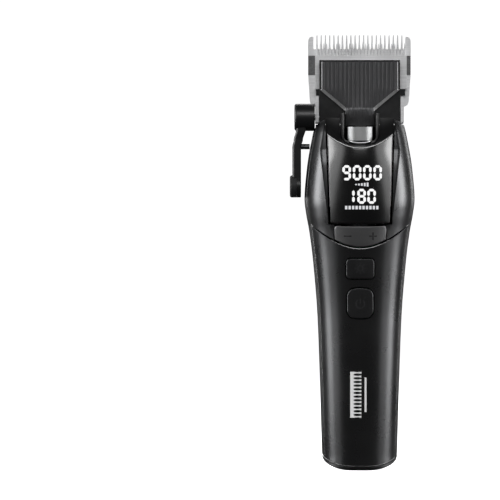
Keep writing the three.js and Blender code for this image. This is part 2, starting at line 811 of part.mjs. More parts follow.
function noseCap() {
  const front = box([-noseHalfWidth, noseHalfWidth], [noseFrontY, noseFrontY + noseWall], [noseBaseZ, noseTopZ]);
  const sides = [-1, 1].map((side) => {
    const x = [side * noseHalfWidth, side * (noseHalfWidth - noseWall)].sort((a, b) => a - b);
    return box(x, [noseFrontY + noseWall / 2, bladeFrontY - 0.4], [noseBaseZ, yokeBarZ - 0.8]);
  });
  return cut(join(front, ...sides), bushHole());
}

function bladeBracket() {
  const backY = bladeFrontY + bladeThickness + gap;
  const outerX = noseHalfWidth + 0.2 + bracketCheek;
  const plate = box([-outerX, outerX], [backY, backY + bracketThickness], [noseBaseZ + 0.2, bracketTopZ]);
  const cheeks = [-1, 1].flatMap((side) => {
    const x = [side * outerX, side * (outerX - bracketCheek)].sort((a, b) => a - b);
    const low = box(x, [noseFrontY, backY + 1], [noseBaseZ + 0.6, bladeHeelZ - gap]);
    const high = box(x, [noseFrontY, bladeFrontY - gap], [noseBaseZ + 0.6, yokeBarZ - 0.5]);
    return [low, high];
  });
  const holes = [-1, 1].map((side) => rodY(screwShankRadius + gap, side * bladeScrewX, [0, 12], bladeScrewZ));
  return cut(join(plate, ...cheeks), bushHole(), ...holes);
}

// ---------------------------------------------------------------- blades

const bladeScrewX = 10;
const bladeScrewZ = 161.5;

function toothRow(count, pitch, rootZ, tipZ, rootWidth, tipWidth) {
  const points = [];
  for (let i = 0; i < count; i += 1) {
    const x = ((count - 1) / 2 - i) * pitch;
    points.push([x + rootWidth / 2, rootZ], [x + tipWidth / 2, tipZ]);
    points.push([x - tipWidth / 2, tipZ], [x - rootWidth / 2, rootZ]);
  }
  return points;
}

function fixedBlade() {
  const endBlock = 2.35;
  const right = [
    [bladeHeelHalfWidth - 2.4, bladeHeelZ],
    [bladeHeelHalfWidth - 0.7, bladeHeelZ + 0.7],
    [bladeHeelHalfWidth, bladeHeelZ + 2.4],
    [bladeHalfWidth, bladeHeelZ + 14],
    [bladeHalfWidth, bladeTopZ - 2.3],
    [bladeHalfWidth - 0.5, bladeTopZ - 1.1],
    [bladeHalfWidth - 1.7, bladeTopZ - 0.6],
    [bladeHalfWidth - endBlock, bladeTopZ - 0.8],
    [bladeHalfWidth - endBlock, bladeToothRootZ],
  ];
  const left = right.map(([x, z]) => [-x, z]).reverse();
  const teeth = toothRow(bladeToothCount, bladeToothPitch, bladeToothRootZ, bladeTopZ, 0.95, 0.5);
  const backY = bladeFrontY + bladeThickness;
  const outline = plateY(polygon([...right, ...teeth, ...left]), [bladeFrontY, backY]);
  const section = polygon([
    [bladeFrontY, bladeHeelZ - 1],
    [backY, bladeHeelZ - 1],
    [backY, bladeHeelZ + 12],
    [bladeFrontY + bladeTipThickness, bladeTopZ + 0.1],
    [bladeFrontY, bladeTopZ + 0.1],
    [bladeFrontY, grooveTopZ],
    [bladeFrontY + grooveDepth, grooveTopZ - 0.4],
    [bladeFrontY + grooveDepth, bladeHeelZ + 13.9],
    [bladeFrontY, bladeHeelZ + 13.5],
  ]);
  const holes = [-1, 1].map((side) => rodY(screwShankRadius + gap, side * bladeScrewX, [0, 12], bladeScrewZ));
  return cut(common(outline, plateX(section, [-30, 30])), ...holes);
}

function movingBlade() {
  const pitch = (2 * movingBladeHalfWidth - 0.4) / movingToothCount;
  const teeth = toothRow(movingToothCount, pitch, movingBladeRailZ, movingBladeTipZ, 1, 0.3);
  const outline = polygon([
    [movingBladeHalfWidth, movingBladeHeelZ],
    [movingBladeHalfWidth, movingBladeRailZ],
    ...teeth,
    [-movingBladeHalfWidth, movingBladeRailZ],
    [-movingBladeHalfWidth, movingBladeHeelZ],
  ]);
  const back = bladeFrontY - gap;
  return plateY(outline, [back - movingBladeThickness, back]).translate(movingBladeX, 0, 0);
}

const yokeSlotHalfWidth = bearingRadius + 2 * strokeHalf + slideGap;
const yokeHalfWidth = yokeSlotHalfWidth + yokeProngWidth;

function driveYoke() {
  const prongZ = [camTopZ + 0.5, shoulderZ - 2.1 - taperTravel - 0.7];
  const stem = polygon([
    [-yokeHalfWidth, prongZ[0]],
    [-yokeSlotHalfWidth, prongZ[0]],
    [-yokeSlotHalfWidth, camPinTopZ + 0.5],
    [yokeSlotHalfWidth, camPinTopZ + 0.5],
    [yokeSlotHalfWidth, prongZ[0]],
    [yokeHalfWidth, prongZ[0]],
    [yokeHalfWidth, yokeTopZ],
    [-yokeHalfWidth, yokeTopZ],
  ]);
  const plate = plateY(stem, [yokeFrontY, yokeBackY]);
  const bar = box([-19.7, 19.3], [yokeFrontY + 0.2, yokeBackY], [yokeBarZ, yokeBarZ + yokeBarHeight]);
  const prongs = [-1, 1].map((side) => {
    const x = [side * yokeHalfWidth, side * yokeSlotHalfWidth].sort((a, b) => a - b);
    return box(x, [yokeFrontY, motorY + bearingRadius + 1], prongZ);
  });
  return join(plate, bar, ...prongs).translate(movingBladeX, 0, 0);
}

const crankPinReach = 3;
const slidePlateY = [-2.35, -1.65];
const slideZ = [noseBaseZ + 0.9, 160];
const crankPin = {
  y: leverY + crankRadius * Math.cos(leverSwing / 2),
  z: leverZ - crankRadius * Math.sin(leverSwing / 2),
};

function taperSlide() {
  const outer = noseHalfWidth - noseWall - 1.9;
  const inner = yokeHalfWidth + movingBladeX + strokeHalf + slideGap;
  const plate = box([-outer, outer], slidePlateY, slideZ);
  const legs = [-1, 1].map((side) => {
    const x = [side * outer, side * inner].sort((a, b) => a - b);
    return box(x, [slidePlateY[0], bladeFrontY - gap - 0.1], [slideZ[0], slideZ[1] - 2]);
  });
  const halfSlot = crankPinRadius + slideGap;
  const slotX = [-outer - 1, crankPinReach - outer];
  const slot = box(slotX, [crankPin.y - halfSlot - 0.2, 5], [crankPin.z - halfSlot, crankPin.z + halfSlot]);
  return cut(join(plate, ...legs), slot);
}

function tensionSpring() {
  const y = slidePlateY[1] - springWireRadius + 0.15;
  const baseZ = slideZ[1] + springWireRadius + gap;
  const tipY = bladeFrontY - gap - movingBladeThickness - springWireRadius - gap;
  const arm = (side) => [
    [side * springArmX, tipY, yokeTopZ + 0.5],
    [side * springArmX, y + 0.6, yokeTopZ - 2.5],
    [side * springArmX, y, yokeBarZ + yokeBarHeight],
    [side * springArmX, y, baseZ + 2.5],
    [side * (springArmX - 0.7), y, baseZ + 0.5],
    [side * (springArmX - 2.5), y, baseZ],
  ];
  return tube([...arm(-1), ...arm(1).reverse()], springWireRadius, 36);
}

function bladeScrew(side) {
  const headY = bladeFrontY + bladeThickness + bracketThickness + 2 * gap;
  const head = rodY(screwHeadRadius, side * bladeScrewX, [headY, headY + 1.5], bladeScrewZ);
  const shank = rodY(screwShankRadius, side * bladeScrewX, [bladeFrontY + gap, headY + 0.5], bladeScrewZ);
  const slot = box([side * bladeScrewX - 3, side * bladeScrewX + 3], [headY + 0.9, headY + 3],
    [bladeScrewZ - 0.3, bladeScrewZ + 0.3]);
  return cut(join(head, shank), slot);
}

// ---------------------------------------------------------------- taper lever

function leverArm() {
  const bossPoints = [[0, bossInnerX], [bossRadius, bossInnerX], [bossRadius, bossOuterX + 0.7],
    [bossRadius - 0.7, bossOuterX], [0, bossOuterX]];
  const boss = new THREE.LatheGeometry(bossPoints.map(([r, x]) => new THREE.Vector2(r, x)), 36);
  boss.rotateZ(-Math.PI / 2).translate(0, leverY, leverZ);
  const inner = armOuterX + armThickness;
  const stations = [
    [leverZ - 2, armOuterX + 1.8, inner + 2.2, armHalfDepth + 0.6],
    [leverZ - bossRadius + 0.5, armOuterX + 1.6, inner + 2, armHalfDepth + 0.3],
    [leverZ - 10, armOuterX + 0.6, inner + 0.8, armHalfDepth],
    [detentZ, armOuterX, inner, armHalfDepth],
    [knobZ + knobRadius - 0.5, armOuterX, inner, armHalfDepth],
    [knobZ + 2, armOuterX + 0.9, inner, armHalfDepth],
  ];
  const bevel = 0.8;
  const arm = loft(stations.map(([z, outerX, innerX, half]) => [
    [innerX, leverY - half, z],
    [innerX, leverY + half, z],
    [outerX + bevel, leverY + half, z],
    [outerX, leverY + half - bevel, z],
    [outerX, leverY - half + bevel, z],
    [outerX + bevel, leverY - half, z],
  ]));
  const disc = rodX(knobRadius, [inner - padSeat, inner], leverY, knobZ, 32);
  const space = rodX(knobRadius + gap, [armOuterX - 5, inner - padSeat], leverY, knobZ, 32);
  const bore = rodX(shaftRadius + gap, [shaftOuterX, bossInnerX + 1], leverY, leverZ);
  const screwBore = rodX(screwShankRadius + gap, [bossOuterX - 1, bossInnerX], leverY, leverZ, 16);
  const screwSeat = rodX(screwHeadRadius + 0.8, [bossOuterX - 6, bossOuterX + 1.6], leverY, leverZ);
  const pinBore = rodX(detentRadius + gap, [inner - 1.2, inner + 3], leverY, detentZ, 16);
  return cut(join(boss, cut(arm, space), disc), bore, screwBore, screwSeat, pinBore);
}

function leverPad() {
  const outer = knobOuterX;
  const inner = armOuterX + armThickness - padSeat - gap;
  const points = [[0, inner], [knobRadius, inner], [knobRadius, outer + 0.9], [knobRadius - 0.9, outer], [0, outer]];
  const pad = new THREE.LatheGeometry(points.map(([r, x]) => new THREE.Vector2(r, x)), 32);
  return pad.rotateZ(-Math.PI / 2).translate(0, leverY, knobZ);
}

function leverScrew() {
  const head = rodX(screwHeadRadius, [bossOuterX + 0.5, bossOuterX + 1.3], leverY, leverZ);
  const shank = rodX(screwShankRadius, [bossOuterX + 1, shaftOuterX - 0.2], leverY, leverZ, 16);
  const slot = box([bossOuterX, bossOuterX + 0.8], [leverY - 3, leverY + 3], [leverZ - 0.3, leverZ + 0.3]);
  return cut(join(head, shank), slot);
}

function leverShaft() {
  const webX = [-noseHalfWidth + noseWall + 0.1, -noseHalfWidth + noseWall + 1.5];
  const shaft = rodX(shaftRadius, [shaftOuterX + gap, webX[1]], leverY, leverZ);
  const web = rodX(crankPinRadius + 0.8, webX, crankPin.y, crankPin.z, 16);
  const pin = rodX(crankPinRadius, [webX[0], webX[1] + crankPinReach - 0.2], crankPin.y, crankPin.z, 16);
  return join(shaft, web, pin);
}

function detentPin() {
  const inner = armOuterX + armThickness;
  return rodX(detentRadius, [inner - 0.9, -widthAt(detentZ) - gap], leverY, detentZ, 16);
}

function leverBush() {
  const x = [-noseHalfWidth - 1.5, -noseHalfWidth + noseWall - 0.2];
  return cut(rodX(bushRadius, x, leverY, leverZ), rodX(shaftRadius + gap, [-30, 0], leverY, leverZ));
}

// ---------------------------------------------------------------- drive

const motorScrewX = 8.5;

function motorCan() {
  const bossTop = motorTopZ + motorBossHeight;
  const bore = motorShaftRadius + gap;
  const body = turnedZ([[0, motorBaseZ], [motorRadius - 0.6, motorBaseZ], [motorRadius, motorBaseZ + 0.6],
    [motorRadius, motorTopZ - 0.6], [motorRadius - 0.6, motorTopZ], [motorBossRadius, motorTopZ],
    [motorBossRadius, bossTop], [bore, bossTop], [bore, bossTop - 5], [0, bossTop - 5]], 0, motorY);
  const holes = [-1, 1].map((side) =>
    rodZ(0.8 + gap, side * motorScrewX, motorY, [motorTopZ - 3, motorTopZ + 1], 12));
  return cut(body, ...holes);
}

function motorScrew(side) {
  const plateTop = motorTopZ + gap + motorPlateThickness;
  const head = rodZ(1.6, side * motorScrewX, motorY, [plateTop + gap, plateTop + 1.3], 16);
  const shank = rodZ(0.8, side * motorScrewX, motorY, [motorTopZ - 2.6, plateTop + 1], 12);
  return join(head, shank);
}

function motorPlate() {
  const z = motorTopZ + gap;
  const settings = { depth: motorPlateThickness, bevelEnabled: false, curveSegments: 3 };
  const sheet = new THREE.ExtrudeGeometry(roundedOutline(0, motorY - 1, 34, 20, 6), settings);
  sheet.translate(0, 0, z);
  const screwHoles = [-1, 1].map((side) => rodZ(0.8 + gap, side * motorScrewX, motorY, [z - 1, z + 4], 12));
  return cut(sheet, rodZ(motorBossRadius + gap, 0, motorY, [z - 1, z + 4]), ...screwHoles);
}

const camAngle = Math.acos(movingBladeX / strokeHalf);
const camPinX = strokeHalf * Math.cos(camAngle);
const camPinY = motorY + strokeHalf * Math.sin(camAngle);

function eccentricCam() {
  const disc = rodZ(camRadius, 0, motorY, [camBaseZ, camTopZ], 32);
  const pin = rodZ(camPinRadius, camPinX, camPinY, [camTopZ - 1, camPinTopZ], 16);
  const bore = rodZ(motorShaftRadius + gap, 0, motorY, [camBaseZ - 1, camTopZ - 1.2]);
  return cut(join(disc, pin), bore);
}

function camBearing() {
  const ring = rodZ(bearingRadius, camPinX, camPinY, [camTopZ + gap, camPinTopZ - 0.5]);
  return cut(ring, rodZ(camPinRadius + gap, camPinX, camPinY, [camTopZ - 1, camPinTopZ + 1], 16));
}

// ---------------------------------------------------------------- power and boards

// The room inside the housing, clear of its walls.
function housingSpace() {
  const rings = [];
  for (let z = cellBaseZ; z <= motorBaseZ; z += 6) {
    const ring = [];
    for (let i = 0; i < 48; i += 1) ring.push(skin(z, (2 * Math.PI * i) / 48, wall + gap));
    rings.push(ring);
  }
  return loft(rings);
}

function batteryCradle() {
  const reach = THREE.MathUtils.degToRad(70);
  const surface = (radius) => (u, v) => {
    const angle = lerp(-reach, reach, u);
    const z = lerp(cellBaseZ + 2, cellBaseZ + cellLength - 2, v);
    return [radius * Math.sin(angle), cellY + radius * Math.cos(angle), z];
  };
  const inner = cellRadius + gap;
  return common(thickPatch(surface(inner + cradleThickness), surface(inner), 14, 1), housingSpace());
}

function mainBoard() {
  const bottom = lowerScrewZ + postRadius + 1.6;
  const body = box([-mainBoardHalfWidth, mainBoardHalfWidth], [mainBoardY - boardThickness, mainBoardY],
    [bottom, rockerSwitchZ + 3]);
  return cut(body, rodY(postRadius + gap, 0, [-20, 0], upperScrewZ));
}

function displayBoard() {
  return box([-displayBoardHalfWidth, displayBoardHalfWidth],
    [displayBoardY - boardThickness, displayBoardY], [windowBottomZ + 1.5, displayTopZ + 0.5]);
}

function digitBlock() {
  const front = -windowDepth(displayBoardHalfWidth, displayTopZ, windowThickness) + 2 * gap;
  const reach = displayBoardHalfWidth - 0.5;
  return box([-reach, reach], [front, displayBoardY - boardThickness - gap / 2], [windowBottomZ + 5, displayTopZ]);
}

function chargeSocket() {
  const settings = { depth: socketLength, bevelEnabled: false, curveSegments: 3 };
  const outer = new THREE.ExtrudeGeometry(stadium(socketWidth, socketDepth), settings);
  const inner = new THREE.ExtrudeGeometry(stadium(socketWidth - 0.8, socketDepth - 0.8), settings);
  const shell = cut(outer.translate(0, 0, 0.4), inner.translate(0, 0, -0.8));
  const tongue = box([-3.3, 3.3], [-0.35, 0.35], [1.2, socketLength]);
  return join(shell, tongue).translate(0, socketY, 0);
}

function chargeContact(side) {
  const [x, y] = [side * contactX, contactY];
  const pin = rodZ(contactRadius, x, y, [0.4, 3.4]);
  return join(pin, rodZ(contactRadius - 0.6, x, y, [3, chargeBoardZ - gap], 16));
}

function chargeBoard() {
  const settings = { depth: boardThickness, bevelEnabled: false, curveSegments: 3 };
  return new THREE.ExtrudeGeometry(roundedOutline(0, 0, 22, 20, 5), settings).translate(0, 0, chargeBoardZ);
}

function housingScrew({ z, headY }) {
  const head = rodY(screwHeadRadius, 0, [headY, headY + 1.1], z);
  const shank = rodY(screwShankRadius, 0, [cellY - 5, headY + 0.5], z, 16);
  const slotA = box([-1.5, 1.5], [headY + 0.5, headY + 3], [z - 0.3, z + 0.3]);
  const slotB = box([-0.3, 0.3], [headY + 0.5, headY + 3], [z - 1.5, z + 1.5]);
  return cut(join(head, shank), slotA, slotB);
}

function motorLead(side) {
  const x = side * 7;
  const start = motorBaseZ - 3.2;
  return tube([[x, 0, start], [x, -2, start - 2.4], [x, mainBoardY + 2.5, start - 4],
    [x, mainBoardY + 1.1, start - 4.4]], 0.6, 10);
}

function batteryLead(side) {
  const x = side * 3;
  const top = cellBaseZ + cellLength + 1.2;
  return tube([[x, cellY - 4, top + 0.2], [x, cellY - 7, top + 0.7], [x, mainBoardY + 2.2, top + 0.6],
    [x, mainBoardY + 1.1, top]], 0.5, 10);
}

// ---------------------------------------------------------------- assembly

const group = new THREE.Group();

function add(name, geometry, finish) {
  const [color, roughness, metalness] = finishes[finish];
  const mesh = new THREE.Mesh(closed(geometry), new THREE.MeshStandardMaterial({ color, roughness, metalness }));
  mesh.name = name;
  group.add(mesh);
}

add("rear_housing", rearHousing(), "gunmetal");
add("barrel_cover", barrelCover(), "gunmetal");
add("head_cover", headCover(), "gunmetal");
add("bottom_cap", bottomCap(), "black");
add("display_window", displayWindow(), "gloss");
add("speed_rocker", rocker(), "black");
add("light_button", frontButton(lightButton), "gunmetal");
add("power_button", frontButton(powerButton), "gunmetal");

add("scoop_deck", scoopDeck(), "black");
add("neck_collar", neckCollar(), "black");
add("neck_insert", neckInsert(), "chrome");
add("insert_lip", insertLip(), "chrome");
add("top_frame", topFrame(), "black");
add("nose_cap", noseCap(), "black");
add("hair_guard", hairGuard(), "guard");
add("blade_bracket", bladeBracket(), "steel");

add("fixed_blade", fixedBlade(), "steel");
add("moving_blade", movingBlade(), "steel");
add("drive_yoke", driveYoke(), "white");
add("taper_slide", taperSlide(), "steel");
add("tension_spring", tensionSpring(), "steel");

add("taper_lever", leverArm(), "black");
add("lever_pad", leverPad(), "rubber");
add("lever_screw", leverScrew(), "steel");
add("lever_shaft", leverShaft(), "steel");
add("detent_pin", detentPin(), "steel");
add("lever_bush", leverBush(), "copper");

add("motor_can", motorCan(), "steel");
add("motor_endbell", rodZ(motorRadius - 0.4, 0, motorY, [motorBaseZ - 2.8, motorBaseZ - gap], 32), "black");
add("motor_plate", motorPlate(), "steel");
add("motor_shaft", rodZ(motorShaftRadius, 0, motorY, [motorTopZ - 1, camTopZ - 1.6]), "steel");
add("eccentric_cam", eccentricCam(), "copper");
add("cam_bearing", camBearing(), "steel");

add("battery_cell", rodZ(cellRadius, 0, cellY, [cellBaseZ, cellBaseZ + cellLength], 32), "cell");
add("battery_terminal", rodZ(3, 0, cellY, [cellBaseZ + cellLength + gap, cellBaseZ + cellLength + 1.2]), "steel");
add("battery_cradle", batteryCradle(), "white");
add("main_board", mainBoard(), "board");
add("display_board", displayBoard(), "board");
add("digit_block", digitBlock(), "white");
add("switch_light", tactSwitch(0, lightButton.z), "black");
add("switch_power", tactSwitch(0, powerButton.z), "black");
add("charge_board", chargeBoard(), "board");
add("charge_socket", chargeSocket(), "steel");
add("housing_screw_lower", housingScrew(lowerHousingScrew), "steel");
add("housing_screw_upper", housingScrew(upperHousingScrew), "steel");

for (const [name, side] of [["left", -1], ["right", 1]]) {
  add(`blade_screw_${name}`, bladeScrew(side), "steel");
  add(`motor_screw_${name}`, motorScrew(side), "steel");
  add(`switch_speed_${name}`, tactSwitch(side * rockerSwitchX, rockerSwitchZ), "black");
  add(`contact_${name}`, chargeContact(side), "copper");
  add(`motor_lead_${name}`, motorLead(side), "red");
  add(`battery_lead_${name}`, batteryLead(side), "black");
}

export default group;
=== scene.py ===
# %% [markdown]
# # A cordless hair clipper, built around its engineering frame
#
# The frame holds every part of the clipper at its real size: the housings, the blade set, the taper
# lever and the drive inside. This lesson keeps that frame as it is and gives each part that shows a
# finer surface, piece by piece, and a finish to match. Lengths are in millimetres inside the
# helpers and turn into metres when a mesh is made, because the frame is in metres.

# %% Load the frame
import json
import math
import bpy
import bmesh
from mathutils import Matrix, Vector


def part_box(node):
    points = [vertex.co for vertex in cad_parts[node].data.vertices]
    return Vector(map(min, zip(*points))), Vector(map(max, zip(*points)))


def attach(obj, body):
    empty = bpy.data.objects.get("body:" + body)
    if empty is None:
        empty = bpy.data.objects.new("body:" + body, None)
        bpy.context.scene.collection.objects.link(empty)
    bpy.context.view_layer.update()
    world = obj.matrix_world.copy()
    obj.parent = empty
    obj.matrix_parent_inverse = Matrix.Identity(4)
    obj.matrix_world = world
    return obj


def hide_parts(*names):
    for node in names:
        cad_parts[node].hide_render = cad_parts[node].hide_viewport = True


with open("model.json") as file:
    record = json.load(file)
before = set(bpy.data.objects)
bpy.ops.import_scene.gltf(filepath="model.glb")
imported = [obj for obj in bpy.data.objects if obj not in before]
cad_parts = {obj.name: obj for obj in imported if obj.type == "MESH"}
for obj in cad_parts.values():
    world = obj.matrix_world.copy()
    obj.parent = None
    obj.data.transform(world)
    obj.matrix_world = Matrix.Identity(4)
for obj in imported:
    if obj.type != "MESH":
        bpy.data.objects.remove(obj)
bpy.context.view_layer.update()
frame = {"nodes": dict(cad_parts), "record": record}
MM = 0.001

# %% [markdown]
# The camera looks square on at the display, a little to the left of the clipper and from half
# its height, with a long lens that keeps the sides parallel. The camera comes first, so that every
# later step can be judged from the same place.

# %% Camera
CAMERA_X = -47.9
CAMERA_Z = 95.9
CAMERA_DISTANCE = 2430

camera_data = bpy.data.cameras.new("camera")
camera_data.lens = 400
camera_data.sensor_width = 36
camera_data.clip_end = 20
camera = bpy.data.objects.new("camera", camera_data)
camera.location = (CAMERA_X * MM, -CAMERA_DISTANCE * MM, CAMERA_Z * MM)
camera.rotation_euler = (math.pi / 2, 0, 0)
bpy.context.scene.collection.objects.link(camera)
bpy.context.scene.camera = camera
print("camera at", [round(value, 3) for value in camera.location])

# %% [markdown]
# ## Mesh helpers
#
# A moulded shell is two skins with a wall between them. One helper turns a function of two
# fractions, u across and v up, into such a closed shell. Near its rims the outer skin drops back in
# a quarter round, so that every rim catches a thin line of light, as a real moulding does.

# %% Make a mesh object from millimetre points
def mesh_piece(name, points, faces, smooth_angle=40):
    mesh = bpy.data.meshes.new(name)
    mesh.from_pydata([(x * MM, y * MM, z * MM) for x, y, z in points], [], faces)
    mesh.validate()
    work = bmesh.new()
    work.from_mesh(mesh)
    bmesh.ops.remove_doubles(work, verts=work.verts, dist=1e-7)
    bmesh.ops.recalc_face_normals(work, faces=work.faces)
    work.to_mesh(mesh)
    work.free()
    mesh.shade_smooth()
    mesh.set_sharp_from_angle(angle=math.radians(smooth_angle))
    piece = bpy.data.objects.new(name, mesh)
    bpy.context.scene.collection.objects.link(piece)
    return piece


def lerp(a, b, t):
    return a + (b - a) * t


def clamp(value, low=0.0, high=1.0):
    return max(low, min(high, value))


def smoothstep(value, low, high):
    t = clamp((value - low) / (high - low))
    return t * t * (3 - 2 * t)


# %% Fractions that crowd together at a rounded rim
def rims(count, length, radius, start=True, end=True):
    """(fraction, drop) pairs: drop is how far the skin has fallen back at that fraction."""
    steps = [0.0, 0.08, 0.25, 0.5, 0.78, 1.0]
    rounded = [(step * radius, radius - math.sqrt(radius**2 - (radius - step * radius) ** 2))
               for step in steps]
    low = rounded if start else [(0.0, 0.0)]
    high = [(length - distance, drop) for distance, drop in reversed(rounded)] if end else [(length, 0.0)]
    first, last = low[-1][0], high[0][0]
    middle = [(lerp(first, last, i / count), 0.0) for i in range(1, count)]
    return [(distance / length, drop) for distance, drop in low + middle + high]


# %% Closed shell between two skins
def shell(name, place, across, up, wall, smooth_angle=40):
    """place(u, v, inset) gives a point; across and up are lists from rims()."""
    columns, rows = len(across), len(up)
    points = []
    for inner in (False, True):
        for v, drop_v in up:
            for u, drop_u in across:
                points.append(place(u, v, wall if inner else max(drop_u, drop_v)))
    layer = columns * rows

    def at(side, i, j):
        return side * layer + j * columns + i

    faces = []
    for j in range(rows - 1):
        for i in range(columns - 1):
            faces.append((at(0, i, j), at(0, i + 1, j), at(0, i + 1, j + 1), at(0, i, j + 1)))
            faces.append((at(1, i, j), at(1, i, j + 1), at(1, i + 1, j + 1), at(1, i + 1, j)))
    for i in range(columns - 1):
        faces.append((at(0, i, 0), at(1, i, 0), at(1, i + 1, 0), at(0, i + 1, 0)))
        faces.append((at(0, i, rows - 1), at(0, i + 1, rows - 1), at(1, i + 1, rows - 1), at(1, i, rows - 1)))
    for j in range(rows - 1):
        faces.append((at(0, 0, j), at(0, 0, j + 1), at(1, 0, j + 1), at(1, 0, j)))
        end = columns - 1
        faces.append((at(0, end, j), at(1, end, j), at(1, end, j + 1), at(0, end, j + 1)))
    return mesh_piece(name, points, faces, smooth_angle)


# %% Solid through a stack of rings, closed by a fan at each end
def ring_stack(name, rings, smooth_angle=40):
    count = len(rings[0])
    points = [point for ring in rings for point in ring]
    faces = []
    for j in range(len(rings) - 1):
        for i in range(count):
            k = (i + 1) % count
            a, b = j * count, (j + 1) * count
            faces.append((a + i, a + k, b + k, b + i))
    for ring_index in (0, len(rings) - 1):
        ring = rings[ring_index]
        middle = tuple(sum(point[axis] for point in ring) / count for axis in range(3))
        points.append(middle)
        start = ring_index * count
        faces += [(len(points) - 1, start + i, start + (i + 1) % count) for i in range(count)]
    return mesh_piece(name, points, faces, smooth_angle)


# %% Cut, join and bevel by modifiers, then keep the result
def settle(piece, smooth_angle=40):
    graph = bpy.context.evaluated_depsgraph_get()
    mesh = bpy.data.meshes.new_from_object(piece.evaluated_get(graph))
    piece.modifiers.clear()
    piece.data = mesh
    if smooth_angle is not None:
        mesh.shade_smooth()
        mesh.set_sharp_from_angle(angle=math.radians(smooth_angle))
    return piece


def carve(piece, *tools, operation="DIFFERENCE", smooth_angle=40):
    for tool in tools:
        modifier = piece.modifiers.new("carve", "BOOLEAN")
        modifier.operation = operation
        modifier.solver = "MANIFOLD"
        modifier.object = tool
        settle(piece, smooth_angle)
        bpy.data.objects.remove(tool)
    return piece


def bevel(piece, width, segments=2, angle=35, smooth_angle=40):
    modifier = piece.modifiers.new("bevel", "BEVEL")
    modifier.width = width * MM
    modifier.segments = segments
    modifier.limit_method = "ANGLE"
    modifier.angle_limit = math.radians(angle)
    settle(piece, smooth_angle)
    weighted = piece.modifiers.new("flat_faces", "WEIGHTED_NORMAL")
    weighted.keep_sharp = True
    return settle(piece, None)


# %% Plain building blocks: a box, a turned solid and an outline with depth
def block(name, x, y, z):
    points = [(a, b, c) for c in z for b in y for a in x]
    faces = [(0, 2, 3, 1), (4, 5, 7, 6), (0, 1, 5, 4), (2, 6, 7, 3), (0, 4, 6, 2), (1, 3, 7, 5)]
    return mesh_piece(name, points, faces)


AXES = {"x": lambda a, b, h: (h, a, b), "y": lambda a, b, h: (a, h, b), "z": lambda a, b, h: (a, b, h)}


def turned(name, axis, centre, profile, sides=64, smooth_angle=40):
    """profile is (radius, height) pairs; centre is the place on the two axes across it."""
    rings = []
    for radius, height in profile:
        ring = []
        for i in range(sides):
            angle = 2 * math.pi * i / sides
            first, second = centre[0] + radius * math.cos(angle), centre[1] + radius * math.sin(angle)
            ring.append(AXES[axis](first, second, height))
        rings.append(ring)
    return ring_stack(name, rings, smooth_angle)


def outlined(name, outline, y):
    """An outline in X and Z, given depth along Y. The outline stays one flat face at each end."""
    count = len(outline)
    points = [(x, y[0], z) for x, z in outline] + [(x, y[1], z) for x, z in outline]
    sides = [(i, (i + 1) % count, (i + 1) % count + count, i + count) for i in range(count)]
    return mesh_piece(name, points, [tuple(range(count)), tuple(range(count, 2 * count))] + sides)


def grown(outline, margin):
    """The outline moved outward by a margin, point by point."""
    count = len(outline)
    area = sum(outline[i][0] * outline[(i + 1) % count][1] - outline[(i + 1) % count][0] * outline[i][1]
               for i in range(count))
    turn = 1 if area > 0 else -1
    result = []
    for i, (x, z) in enumerate(outline):
        before, after = outline[i - 1], outline[(i + 1) % count]
        dx, dz = after[0] - before[0], after[1] - before[1]
        length = math.hypot(dx, dz) or 1
        result.append((x + margin * turn * dz / length, z - margin * turn * dx / length))
    return result


new_pieces = []
second_finishes = {}


def finish_piece(piece, body, slot, *nodes):
    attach(piece, body)
    if nodes:
        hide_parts(*nodes)
    new_pieces.append((piece, slot))
    print(piece.name, "faces:", len(piece.data.polygons))
    return piece

# %% [markdown]
# ## The body's skin
#
# The body is one smooth form: a superellipse section whose half width and depths change with
# height. A few stations set each of them, and a curve that never overshoots joins the stations.
# The stations hang on the frame's own boxes where a part gives them.

# %% Stations of the body
def profile(stations):
    slopes = [(b[1] - a[1]) / (b[0] - a[0]) for a, b in zip(stations, stations[1:])]
    tangents = [slopes[0]]
    for before, after in zip(slopes, slopes[1:]):
        tangents.append(0 if before * after <= 0 else 2 * before * after / (before + after))
    tangents.append(slopes[-1])

    def value_at(z):
        i = 0
        while i < len(stations) - 2 and z > stations[i + 1][0]:
            i += 1
        (low, a), (high, b) = stations[i], stations[i + 1]
        span = high - low
        t = clamp((z - low) / span)
        rise = t * t * (3 - 2 * t)
        return a + (b - a) * rise + span * t * (1 - t) * ((1 - t) * tangents[i] - t * tangents[i + 1])

    return value_at


def box_mm(node):
    low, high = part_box(node)
    return [value / MM for value in low], [value / MM for value in high]


ROUNDNESS = 2.15
WALL = 2.0
SEAM_INSET = 1.0
FOOT_HALF_WIDTH, SOLE_RISE, SOLE_THICKNESS = 3.0, 6.3, 1.5
BASE_HALF_WIDTH = box_mm("bottom_cap")[1][0]
BASE_DEPTH = box_mm("bottom_cap")[1][1]
WAIST_Z, WAIST_HALF_WIDTH, WAIST_DEPTH = 65, 18.3, 16.9
HEAD_Z, HEAD_HALF_WIDTH, HEAD_FRONT, HEAD_BACK = 118, 24.1, 20.4, 19.2
SHOULDER_Z, SHOULDER_HALF_WIDTH, SHOULDER_FRONT, SHOULDER_BACK = 151, 19.3, 14.5, 11.4
EAR_TOP_Z = 153.4
JOINT_CENTRE_Z, JOINT_RISE = 96.8, 12.3
WINDOW_HALF_WIDTH = box_mm("display_window")[1][0]
WINDOW_BOTTOM_Z = box_mm("display_window")[0][2]
WINDOW_TOP_Z, WINDOW_TOP_RISE = 140.4, 6.2
WINDOW_SIDE_Z = WINDOW_TOP_Z + WINDOW_TOP_RISE
WINDOW_TAPER, WINDOW_RECESS, WINDOW_THICKNESS, WINDOW_GAP = 0.033, 0.4, 1.6, 0.7
CREASE_INSET, CREASE_SHARE, STRIP_SLOPE = 3.3, 0.8, 0.12


